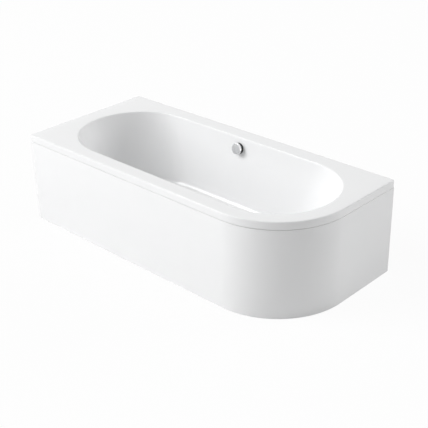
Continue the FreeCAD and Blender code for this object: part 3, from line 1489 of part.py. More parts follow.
def make_trap():
    """The shallow trap, its seal, union nut and cleaning cap."""
    where = ("waste_x", "waste_y")
    cap_x, cap_z = "waste_x - trap_bend", "trap_low_z - trap_bend"
    boss_end = "pipe_radius + cap_boss_reach"
    boss = rod("trap_boss", "cap_radius - cap_grip", f"{boss_end} - cap_boss_start",
               (cap_x, "waste_y - cap_boss_start", cap_z), "-Y")
    boss_bore = rod("trap_boss_bore", "cap_radius - cap_grip - cap_boss_wall", boss_end,
                    (cap_x, "waste_y", cap_z), "-Y")
    outside = fuse("trap_outside", [trap_run("trap_outer", "pipe_radius"), boss])
    trap = cut("trap_hollow", outside, [trap_run("trap_inner", "pipe_bore"), boss_bore])
    keep(trap, "trap_body")
    lid = turned("cap_shape", (
        ("0", "0"), ("cap_radius - cap_grip", "0"), ("cap_radius - cap_grip", "-cap_skirt"),
        ("cap_radius", "-cap_skirt"), ("cap_radius", "cap_grip"), ("0", "cap_grip")))
    lid.Placement = Placement(Vector(), TURNS["-Y"])
    keep(move(lid, cap_x, f"waste_y - ({boss_end})", cap_z), "trap_cleaning_cap")
    keep(tube("trap_washer", "pipe_radius", "waste_outlet_radius", "trap_seal_height",
              (*where, "trap_top")), "trap_seal")
    keep(tube("union_ring", "pipe_radius + coupling_wall", "pipe_radius + union_nut_play",
              "union_nut_height", (*where, "trap_top - union_nut_height + union_nut_rise")),
         "trap_union_nut")


# ---------------------------------------------------------------- build, check and write
def check_model():
    """Stops the build if any object has failed or any sub-part is not a valid solid."""
    for thing in DOC.Objects:
        if any(word in ("Invalid", "Error") for word in thing.State):
            raise RuntimeError(f"{thing.Name} is {thing.State}")
    for part in SUBPARTS:
        shape = part.Shape
        if shape.isNull() or not shape.isValid() or not shape.Solids:
            raise RuntimeError(f"{part.Label} has no valid solid")


def write_parts():
    """Writes each sub-part to its own file."""
    os.makedirs("parts", exist_ok=True)
    for part in SUBPARTS:
        part.Shape.exportStep(f"parts/{part.Label}.step")
    print(f"{len(SUBPARTS)} sub-parts")


def main():
    """Builds every sub-part, from the shell down to the trap."""
    fill_sheet()
    make_bath_shell()
    make_front_panel()
    make_battens()
    make_panel_catches()
    make_struts()
    make_wall_brackets()
    make_base_board()
    make_rails()
    make_feet()
    make_overflow()
    make_knob()
    make_waste()
    make_plug()
    make_lever()
    make_hose()
    make_cable()
    make_trap()
    make_outlet()
    DOC.recompute()
    check_model()
    write_parts()


main()
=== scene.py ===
"""Looks of the corner bathtub: a white acrylic bath with one round corner and a wrap-round panel.

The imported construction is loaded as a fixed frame. The shell, the panel, the overflow knob,
the threaded studs, the wood screws and the grip ribs are modelled here. Every other piece
gets its finish on a smooth copy of its solid, mostly with eased edges, or on the solid itself.
All sizes are in metres, in the frame's own axes: X along the bath, the long front at -Y.
"""
import json
import logging
import math
from dataclasses import dataclass, field
from enum import Enum
from typing import Protocol

import bmesh
import bpy
import numpy as np
from mathutils import Euler, Matrix, Vector

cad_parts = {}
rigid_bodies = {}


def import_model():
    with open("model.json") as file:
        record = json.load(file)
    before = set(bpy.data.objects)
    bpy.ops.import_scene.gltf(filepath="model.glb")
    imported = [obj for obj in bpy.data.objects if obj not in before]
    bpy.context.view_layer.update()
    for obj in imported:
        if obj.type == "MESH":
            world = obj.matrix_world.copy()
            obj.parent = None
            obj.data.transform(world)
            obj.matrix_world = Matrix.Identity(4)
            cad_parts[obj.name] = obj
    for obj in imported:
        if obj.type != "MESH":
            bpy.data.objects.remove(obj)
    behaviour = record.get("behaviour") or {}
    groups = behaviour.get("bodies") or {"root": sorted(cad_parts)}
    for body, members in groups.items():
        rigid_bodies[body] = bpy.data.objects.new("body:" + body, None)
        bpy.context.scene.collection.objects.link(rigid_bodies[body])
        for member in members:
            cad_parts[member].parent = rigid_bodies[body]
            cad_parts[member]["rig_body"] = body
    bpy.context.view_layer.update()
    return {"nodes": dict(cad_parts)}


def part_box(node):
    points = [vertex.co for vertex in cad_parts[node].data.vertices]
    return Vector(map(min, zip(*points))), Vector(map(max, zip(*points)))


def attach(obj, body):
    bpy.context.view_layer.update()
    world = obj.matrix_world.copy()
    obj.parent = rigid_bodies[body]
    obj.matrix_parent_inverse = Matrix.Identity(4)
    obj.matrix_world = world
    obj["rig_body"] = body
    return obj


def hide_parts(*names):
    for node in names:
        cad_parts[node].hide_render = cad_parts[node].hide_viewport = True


LOG = logging.getLogger("bathtub")
IMAGE_SIDE = 428
SHARP_ANGLE = math.radians(34)
MERGE_DISTANCE = 1e-6
LENGTH, WIDTH, CORNER_RADIUS = 1.8, 0.8, 0.4
BASIN_DEPTH, BACK_WALL_RUN = 0.385, 0.06
BACK_WALL_TILT = math.atan(BACK_WALL_RUN / BASIN_DEPTH)
OVERFLOW_MIDDLE = (-0.010, 0.30065, 0.450)
WHITE = (1.0, 1.0, 1.0, 1.0)

Colour = tuple[float, float, float]
Socket = bpy.types.NodeSocket
Value = Socket | float | int | tuple


# ---------------- node graphs
class Graph:
    """Adds and links the nodes of one tree."""

    def __init__(self, tree: bpy.types.NodeTree) -> None:
        """Starts on an empty tree.

        Args:
            tree: the node tree to fill.
        """
        self.tree = tree
        tree.nodes.clear()

    def feed(self, socket: Socket, value: Value) -> None:
        """Links a socket to another, or sets its value."""
        if isinstance(value, bpy.types.NodeSocket):
            self.tree.links.new(value, socket)
        else:
            socket.default_value = value

    def add(self, kind: str, inputs: dict | None = None, **settings: object) -> bpy.types.Node:
        """Adds one node.

        Args:
            kind: the node's type name.
            inputs: a value or an output for each named or numbered input.
            settings: the node's own properties.

        Returns:
            The new node.
        """
        node = self.tree.nodes.new(kind)
        for name, setting in settings.items():
            setattr(node, name, setting)
        for key, value in (inputs or {}).items():
            self.feed(node.inputs[key], value)
        return node

    def out(self, kind: str, inputs: dict | None = None, **settings: object) -> Socket:
        """Adds one node, and gives its first output."""
        return self.add(kind, inputs, **settings).outputs[0]

    def math(self, operation: str, first: Value, second: Value = 0.0) -> Socket:
        """One sum on two numbers, and its result."""
        return self.out("ShaderNodeMath", {0: first, 1: second}, operation=operation)

    def vector(self, x: Value = 0.0, y: Value = 0.0, z: Value = 0.0) -> Socket:
        """A vector of three numbers."""
        return self.out("ShaderNodeCombineXYZ", {0: x, 1: y, 2: z})


class Surface(Graph):
    """A material made of nodes, with one principled shader."""

    def __init__(self, name: str) -> None:
        """Makes the material, its shader and its object coordinates.

        Args:
            name: the material's name.
        """
        self.material = bpy.data.materials.new(name)
        self.material.use_nodes = True
        super().__init__(self.material.node_tree)
        self.shader = self.add("ShaderNodeBsdfPrincipled")
        self.add("ShaderNodeOutputMaterial", {"Surface": self.shader.outputs[0]})
        self.place = self.add("ShaderNodeTexCoord").outputs["Object"]

    def stretched(self, scale: tuple, turn: float = 0.0) -> Socket:
        """Object coordinates, turned about Z and scaled."""
        mapping = {"Vector": self.place, "Rotation": (0.0, 0.0, turn), "Scale": scale}
        return self.out("ShaderNodeMapping", mapping)

    def noise(self, scale: float, detail: float = 3.0, at: Socket | None = None,
              distortion: float = 0.0) -> Socket:
        """A soft noise.

        Args:
            scale: how many lumps to the metre.
            detail: how many finer layers it has.
            at: the coordinates, or None for the object's own.
            distortion: how far it is drawn about.

        Returns:
            Its value, about 0.5 in the middle.
        """
        inputs = {"Vector": at or self.place, "Scale": scale, "Detail": detail,
                  "Distortion": distortion}
        return self.out("ShaderNodeTexNoise", inputs)

    def cells(self, scale: float, output: str = "Distance", at: Socket | None = None) -> Socket:
        """Cells of random size, by their distance or colour."""
        inputs = {"Vector": at or self.place, "Scale": scale}
        return self.add("ShaderNodeTexVoronoi", inputs).outputs[output]

    def between(self, amount: Socket, low: float, high: float,
                start: float = 0.0, end: float = 1.0) -> Socket:
        """Spreads a value from start to end over low to high."""
        inputs = {0: amount, 1: start, 2: end, 3: low, 4: high}
        return self.out("ShaderNodeMapRange", inputs)

    def blend(self, amount: Socket, first: Colour, second: Colour) -> Socket:
        """A colour between two, by an amount."""
        mix = self.add("ShaderNodeMix", {0: amount, 6: (*first, 1.0), 7: (*second, 1.0)},
                       data_type="RGBA")
        return mix.outputs[2]

    def relief(self, height: Socket, depth: float, strength: float = 1.0) -> Socket:
        """A bumped normal from a height, with its depth in metres."""
        inputs = {"Height": height, "Distance": depth, "Strength": strength}
        return self.out("ShaderNodeBump", inputs)

    def finish(self, **inputs: Value) -> bpy.types.Material:
        """Sets the shader's inputs, named with _ for a space.

        Args:
            inputs: a value or an output for each input.

        Returns:
            The material.
        """
        for name, value in inputs.items():
            words = name.replace("_", " ").replace("Ior", "IOR")
            self.feed(self.shader.inputs[words], value)
        return self.material


# ---------------- finishes
class Finish(Protocol):
    """A finish that builds its own material."""

    def material(self) -> bpy.types.Material:
        """Builds the material."""


@dataclass(frozen=True)
class Acrylic:
    """Gloss white sanitary acrylic, faintly wavy from the mould."""

    name: str = "gloss_white_acrylic"
    white: Colour = (0.86, 0.862, 0.865)
    shade: Colour = (0.845, 0.85, 0.855)
    gloss: tuple[float, float] = (0.09, 0.15)
    refraction: float = 1.49
    wave_scale: float = 5.0
    wave_depth: float = 0.0006
    wave_strength: float = 0.6
    cloud_scale: float = 7.0
    gloss_scale: float = 45.0

    def material(self) -> bpy.types.Material:
        """Builds the material."""
        surface = Surface(self.name)
        cloud = surface.noise(self.cloud_scale, detail=4.0)
        sheen = surface.noise(self.gloss_scale, detail=5.0)
        wave = surface.noise(self.wave_scale, detail=1.0)
        return surface.finish(
            Base_Color=surface.blend(cloud, self.white, self.shade),
            Roughness=surface.between(sheen, *self.gloss),
            Ior=self.refraction,
            Normal=surface.relief(wave, self.wave_depth, self.wave_strength))


@dataclass(frozen=True)
class GlassFibre:
    """Chopped glass strands in resin, rolled on the back of the acrylic."""

    name: str = "glass_fibre_backing"
    resin: Colour = (0.70, 0.67, 0.57)
    strand: Colour = (0.83, 0.82, 0.76)
    strand_count: float = 420.0
    strand_stretch: float = 26.0
    strand_turns: tuple[float, ...] = (8.0, 53.0, 101.0, 149.0)
    strand_band: tuple[float, float] = (0.52, 0.66)
    blotch_scale: float = 14.0
    blotch_height: float = 3.0
    roughness: tuple[float, float] = (0.28, 0.55)
    depth: float = 0.0011
    strength: float = 0.8

    def strands(self, surface: Surface, turn: float) -> Socket:
        """Bright streaks that lie in one direction."""
        at = surface.stretched((self.strand_stretch, self.strand_count, self.strand_count), turn)
        return surface.between(surface.noise(1.0, 2.0, at), 0.0, 1.0, *self.strand_band)

    def material(self) -> bpy.types.Material:
        """Builds the material."""
        surface = Surface(self.name)
        layers = [self.strands(surface, math.radians(turn)) for turn in self.strand_turns]
        web = layers[0]
        for layer in layers[1:]:
            web = surface.math("MAXIMUM", web, layer)
        blotch = surface.noise(self.blotch_scale)
        height = surface.math("ADD", web, surface.math("MULTIPLY", blotch, self.blotch_height))
        return surface.finish(
            Base_Color=surface.blend(surface.math("MULTIPLY", web, blotch),
                                     self.resin, self.strand),
            Roughness=surface.between(web, *self.roughness),
            Normal=surface.relief(height, self.depth, self.strength))


class Grain(Enum):
    """The way that the fibres of a board run, as its turn about Z."""

    ALONG_X = 0.0
    ALONG_Y = math.pi / 2
    SLANTED = math.pi / 4


@dataclass(frozen=True)
class Timber:
    """Sawn softwood, with its rings and pores along the board."""

    grain: Grain = Grain.ALONG_X
    name: str = "sawn_softwood"
    early: Colour = (0.72, 0.53, 0.32)
    late: Colour = (0.50, 0.31, 0.15)
    ring_count: float = 110.0
    ring_stretch: float = 2.2
    ring_waver: float = 1.4
    late_band: tuple[float, float] = (0.42, 0.62)
    pore_count: float = 900.0
    pore_stretch: float = 9.0
    pore_tone: float = 0.3
    pore_depth: float = 0.0003
    roughness: tuple[float, float] = (0.62, 0.86)

    def material(self) -> bpy.types.Material:
        """Builds the material."""
        surface = Surface(f"{self.name}_{self.grain.name.lower()}")
        along = surface.stretched((self.ring_stretch, self.ring_count, self.ring_count),
                                  -self.grain.value)
        rings = surface.noise(1.0, 2.0, along, self.ring_waver)
        fine = surface.stretched((self.pore_stretch, self.pore_count, self.pore_count),
                                 -self.grain.value)
        pores = surface.noise(1.0, at=fine)
        late = surface.between(rings, 0.0, 1.0, *self.late_band)
        streaks = surface.math("MULTIPLY", late, surface.math("ADD", pores, self.pore_tone))
        return surface.finish(
            Base_Color=surface.blend(streaks, self.early, self.late),
            Roughness=surface.between(pores, *self.roughness),
            Normal=surface.relief(pores, self.pore_depth))


@dataclass(frozen=True)
class Chipboard:
    """Pressed wood chips of several browns."""

    name: str = "raw_chipboard"
    light: Colour = (0.70, 0.55, 0.36)
    dark: Colour = (0.42, 0.28, 0.15)
    chip_count: float = 190.0
    chip_stretch: float = 2.4
    chip_turn: float = 0.7
    fleck_stretch: float = 2.1
    fleck_turn: float = 0.2
    tone_band: tuple[float, float] = (0.0, 0.6)
    roughness: tuple[float, float] = (0.6, 0.85)
    depth: float = 0.0004

    def material(self) -> bpy.types.Material:
        """Builds the material."""
        surface = Surface(self.name)
        count = self.chip_count
        turned = surface.stretched((count, self.chip_stretch * count, count), self.chip_turn)
        crossed = surface.stretched((self.fleck_stretch * count, count, count), self.fleck_turn)
        chips = surface.cells(1.0, "Color", turned)
        flecks = surface.cells(1.0, "Color", crossed)
        tone = surface.math("MULTIPLY", chips, flecks)
        return surface.finish(
            Base_Color=surface.blend(surface.between(tone, 0.0, 1.0, *self.tone_band),
                                     self.light, self.dark),
            Roughness=surface.between(flecks, *self.roughness),
            Normal=surface.relief(tone, self.depth))


@dataclass(frozen=True)
class PlatedSteel:
    """Steel with a thin plating: rolled, spangled and lightly handled."""

    name: str = "zinc_plated_steel"
    metal: Colour = (0.62, 0.64, 0.66)
    tint: Colour = (0.52, 0.54, 0.57)
    roughness: tuple[float, float] = (0.26, 0.42)
    spangle: float = 130.0
    anisotropy: float = 0.2
    rolling: tuple[float, float, float] = (40.0, 1500.0, 1500.0)
    rolling_depth: float = 0.00006
    wear_band: tuple[float, float] = (0.0, 0.6)

    def material(self) -> bpy.types.Material:
        """Builds the material."""
        surface = Surface(self.name)
        spangle = surface.cells(self.spangle, "Color")
        rolled = surface.noise(1.0, at=surface.stretched(self.rolling))
        return surface.finish(
            Base_Color=surface.blend(spangle, self.metal, self.tint),
            Metallic=1.0,
            Anisotropic=self.anisotropy,
            Roughness=surface.between(surface.math("MULTIPLY", spangle, rolled),
                                      *self.roughness, *self.wear_band),
            Normal=surface.relief(rolled, self.rolling_depth))


@dataclass(frozen=True)
class Chrome:
    """Polished chrome, with the faintest wipe marks."""

    name: str = "polished_chrome"
    metal: Colour = (0.86, 0.865, 0.87)
    bloom: Colour = (0.82, 0.825, 0.835)
    roughness: tuple[float, float] = (0.035, 0.09)
    bloom_scale: float = 60.0
    wipe_scale: float = 260.0
    wipe_waver: float = 0.6
    wipe_band: tuple[float, float] = (0.3, 0.8)

    def material(self) -> bpy.types.Material:
        """Builds the material."""
        surface = Surface(self.name)
        wipes = surface.noise(self.wipe_scale, detail=4.0, distortion=self.wipe_waver)
        return surface.finish(
            Base_Color=surface.blend(surface.noise(self.bloom_scale), self.metal, self.bloom),
            Metallic=1.0,
            Roughness=surface.between(wipes, *self.roughness, *self.wipe_band))


@dataclass(frozen=True)
class Moulded:
    """A moulded plastic or rubber, with its fine mould texture."""

    name: str
    colour: Colour
    shade: Colour
    roughness: tuple[float, float] = (0.36, 0.5)
    texture: float = 1400.0
    depth: float = 0.00005
    refraction: float = 1.5
    shade_scale: float = 30.0
    texture_band: tuple[float, float] = (0.3, 0.7)

    def material(self) -> bpy.types.Material:
        """Builds the material."""
        surface = Surface(self.name)
        texture, tone = surface.noise(self.texture), surface.noise(self.shade_scale, detail=4.0)
        return surface.finish(
            Base_Color=surface.blend(tone, self.colour, self.shade),
            Roughness=surface.between(texture, *self.roughness, *self.texture_band),
            Ior=self.refraction,
            Normal=surface.relief(texture, self.depth))


ACRYLIC = Acrylic()
ACRYLIC_PANEL = Acrylic("gloss_white_panel", wave_scale=3.0)
GLASS_FIBRE = GlassFibre()
CHROME = Chrome()
ZINC = PlatedSteel()
SCREW_STEEL = PlatedSteel("passivated_screw_steel", (0.70, 0.66, 0.54), (0.60, 0.58, 0.50),
                          (0.22, 0.36), 600.0, 0.1)
NICKEL = PlatedSteel("nickel_magnet", (0.60, 0.60, 0.59), (0.52, 0.52, 0.52), (0.16, 0.28),
                     900.0, 0.0)
RUBBER = Moulded("black_rubber", (0.035, 0.035, 0.037), (0.055, 0.055, 0.058), (0.6, 0.8),
                 700.0, 0.00012)
BLACK_PLASTIC = Moulded("black_polypropylene", (0.045, 0.045, 0.05), (0.06, 0.06, 0.065))
WHITE_PLASTIC = Moulded("white_polypropylene", (0.82, 0.82, 0.80), (0.77, 0.77, 0.74),
                        (0.3, 0.46), 900.0)
HOSE_PLASTIC = Moulded("grey_hose", (0.50, 0.51, 0.53), (0.43, 0.44, 0.46), (0.34, 0.5), 500.0)
CABLE_SHEATH = Moulded("black_cable_sheath", (0.05, 0.05, 0.06), (0.08, 0.08, 0.09),
                       (0.35, 0.5), 800.0)
FOOT_PLASTIC = Moulded("foot_rubber", (0.07, 0.07, 0.075), (0.1, 0.1, 0.105), (0.55, 0.72),
                       600.0, 0.0001)


# ---------------- meshes
def link_mesh(name: str, mesh: bpy.types.Mesh) -> bpy.types.Object:
    """An object of that name in the scene."""
    thing = bpy.data.objects.new(name, mesh)
    bpy.context.scene.collection.objects.link(thing)
    return thing


def make_mesh(name: str, points: np.ndarray, faces: list) -> bpy.types.Object:
    """A smooth object from points and faces, sharp only where it bends hard.

    Args:
        name: the object's name.
        points: its vertices, in metres.
        faces: the indices of each face.

    Returns:
        The object, at the origin.
    """
    mesh = bpy.data.meshes.new(name)
    mesh.from_pydata(points.tolist(), [], faces)
    mesh.validate()
    smooth(mesh)
    return link_mesh(name, mesh)


def smooth(mesh: bpy.types.Mesh) -> None:
    """Smooth faces, with sharp edges where they meet at a hard angle."""
    mesh.polygons.foreach_set("use_smooth", [True] * len(mesh.polygons))
    mesh.set_sharp_from_angle(angle=SHARP_ANGLE)
    mesh.update()


def settle(thing: bpy.types.Object) -> bpy.types.Object:
    """Turns an object's modifiers into its plain mesh."""
    view = bpy.context.evaluated_depsgraph_get()
    mesh = bpy.data.meshes.new_from_object(thing.evaluated_get(view))
    thing.modifiers.clear()
    thing.data = mesh
    mesh.name = thing.name
    smooth(mesh)
    return thing


def paint(thing: bpy.types.Object, *materials: bpy.types.Material) -> bpy.types.Object:
    """Gives an object its materials in place of those that it has."""
    slots = thing.data.materials
    indices = [min(face.material_index, len(materials) - 1) for face in thing.data.polygons]
    slots.clear()
    for material in materials:
        slots.append(material)
    thing.data.polygons.foreach_set("material_index", indices)
    return thing


def heading(degrees: float) -> np.ndarray:
    """The unit vector at an angle in the plan."""
    angle = math.radians(degrees)
    return np.array((math.cos(angle), math.sin(angle)))


def foot_of(low: Vector, high: Vector, rise: float = 0.0) -> tuple[float, float, float]:
    """The middle of a box's bottom, or a rise above it."""
    return (low.x + high.x) / 2, (low.y + high.y) / 2, low.z + rise


def islands(node: bpy.types.Object) -> list[tuple[Vector, Vector]]:
    """The separate solids of a frame node.

    Args:
        node: the frame's object, of loose triangles.

    Returns:
        The lowest and highest corner of each, from left to right.
    """
    work = bmesh.new()
    work.from_mesh(node.data)
    bmesh.ops.remove_doubles(work, verts=work.verts, dist=MERGE_DISTANCE)
    left, found = set(work.verts), []
    while left:
        reach, group = [left.pop()], []
        while reach:
            vertex = reach.pop()
            group.append(vertex.co.copy())
            for edge in vertex.link_edges:
                other = edge.other_vert(vertex)
                if other in left:
                    left.discard(other)
                    reach.append(other)
        found.append((Vector(map(min, *group)), Vector(map(max, *group))))
    work.free()
    return sorted(found, key=lambda box: (round(box[0].x, 4), round(box[0].y, 4)))


def stand_in(thing: bpy.types.Object, body: str, node: str) -> None:
    """Puts a piece in the place of a frame node.

    Args:
        thing: the piece.
        body: the body that it rides on.
        node: the name of the node that it replaces.
    """
    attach(thing, body)
    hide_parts(node)
    LOG.info("%s: %d faces", thing.name, len(thing.data.polygons))


def square_to_wall() -> Matrix:
    """Lays Z square to the basin's back wall, at the middle of the overflow."""
    turn = Euler((math.pi / 2 - BACK_WALL_TILT, 0.0, 0.0)).to_matrix().to_4x4()
    return Matrix.Translation(OVERFLOW_MIDDLE) @ turn


# ---------------- geometry nodes
class Growth(Graph):
    """A geometry tree with named inputs, grown on an object and made a plain mesh."""

    def __init__(self, name: str) -> None:
        """Makes the tree with its geometry in and out.

        Args:
            name: the tree's name.
        """
        super().__init__(bpy.data.node_groups.new(name, "GeometryNodeTree"))
        self.keys: dict[str, str] = {}
        face = self.tree.interface
        face.new_socket("Geometry", in_out="INPUT", socket_type="NodeSocketGeometry")
        face.new_socket("Geometry", in_out="OUTPUT", socket_type="NodeSocketGeometry")
        self.source = self.add("NodeGroupInput")
        self.size("Finish", kind="Material")

    def size(self, name: str, kind: str = "Float") -> Socket:
        """A named input of the tree, and the socket that brings it in."""
        socket = self.tree.interface.new_socket(name, in_out="INPUT",
                                                socket_type=f"NodeSocket{kind}")
        self.keys[name] = socket.identifier
        return self.source.outputs[name]

    def sizes(self, *names: str, kind: str = "Float") -> list[Socket]:
        """Several named inputs of one kind."""
        return [self.size(name, kind) for name in names]

    def join(self, *parts: Socket) -> Socket:
        """One geometry of several."""
        node = self.add("GeometryNodeJoinGeometry")
        for part in parts:
            self.tree.links.new(part, node.inputs[0])
        return node.outputs[0]

    def moved(self, geometry: Socket, offset: Value, turn: Value = (0.0, 0.0, 0.0)) -> Socket:
        """A geometry turned about the origin and then moved."""
        return self.out("GeometryNodeTransform", {
            "Geometry": geometry, "Translation": offset, "Rotation": turn})

    def up(self, height: Value, share: float) -> Socket:
        """A vector up by a share of a height."""
        return self.vector(0.0, 0.0, self.math("MULTIPLY", height, share))

    def here(self) -> bpy.types.NodeOutputs:
        """The X, Y and Z of each point."""
        place = self.out("GeometryNodeInputPosition")
        return self.add("ShaderNodeSeparateXYZ", {0: place}).outputs

    def reshaped(self, geometry: Socket, places: Socket) -> Socket:
        """A geometry with its points put in new places."""
        return self.out("GeometryNodeSetPosition", {"Geometry": geometry, "Position": places})

    def cylinder(self, sides: Value, rings: Value, radius: Value, length: Value) -> Socket:
        """A rod on Z, with its middle at the origin."""
        return self.out("GeometryNodeMeshCylinder", {
            "Vertices": sides, "Side Segments": rings, "Radius": radius, "Depth": length})

    def on_points(self, points: Socket, instance: Socket) -> Socket:
        """An instance on each point."""
        return self.out("GeometryNodeInstanceOnPoints", {"Points": points, "Instance": instance})

    def corners(self, places: list[Socket]) -> Socket:
        """A polyline through places that are worked out from the tree's inputs."""
        line = self.out("GeometryNodeMeshLine", {"Count": len(places)})
        switch = self.add("GeometryNodeIndexSwitch", data_type="VECTOR")
        while len(switch.index_switch_items) < len(places):
            switch.index_switch_items.new()
        self.feed(switch.inputs[0], self.out("GeometryNodeInputIndex"))
        for index, place in enumerate(places, start=1):
            self.feed(switch.inputs[index], place)
        return self.out("GeometryNodeMeshToCurve", {0: self.reshaped(line, switch.outputs[0])})

    def rounded(self, curve: Socket, radius: Value, steps: Value) -> Socket:
        """A curve with each corner drawn as an arc."""
        return self.out("GeometryNodeFilletCurve", {
            "Curve": curve, "Radius": radius, "Count": steps}, mode="POLY")

    def threaded(self, rod: Socket, pitch: Value, depth: Value, radius: Value) -> Socket:
        """Cuts a helical thread in a rod that stands on Z.

        Args:
            rod: the rod's mesh.
            pitch: from one crest to the next.
            depth: how deep the thread is.
            radius: the rod's radius, over the crests.

        Returns:
            The threaded mesh.
        """
        x, y, z = self.here()
        turn = self.math("DIVIDE", self.math("ARCTAN2", y, x), math.tau)
        phase = self.math("FRACT", self.math("SUBTRACT", self.math("DIVIDE", z, pitch), turn))
        wave = self.math("ABSOLUTE", self.math("SUBTRACT", self.math("MULTIPLY", phase, 2.0),
                                               1.0))
        share = self.math("DIVIDE", self.math("MULTIPLY", depth, wave), radius)
        keep = self.math("SUBTRACT", 1.0, share)
        return self.reshaped(rod, self.vector(self.math("MULTIPLY", x, keep),
                                              self.math("MULTIPLY", y, keep), z))

    def close(self, geometry: Socket) -> "Growth":
        """Ends the tree: instances made real, and the finish set."""
        real = self.out("GeometryNodeRealizeInstances", {0: geometry})
        done = self.out("GeometryNodeSetMaterial", {
            "Geometry": real, "Material": self.source.outputs["Finish"]})
        self.add("NodeGroupOutput", {0: done})
        return self

    def grow(self, name: str, base: bpy.types.Mesh, finish: bpy.types.Material,
             **sizes: object) -> bpy.types.Object:
        """Runs the tree on a base mesh.

        Args:
            name: the new object's name.
            base: what the tree starts from.
            finish: the material of the result.
            sizes: each input's value, by its name with _ for a space.

        Returns:
            An object with the result as its plain mesh.
        """
        thing = link_mesh(name, base)
        modifier = thing.modifiers.new(self.tree.name, "NODES")
        modifier.node_group = self.tree
        modifier[self.keys["Finish"]] = finish
        for key, value in sizes.items():
            modifier[self.keys[key.replace("_", " ")]] = value
        return settle(thing)


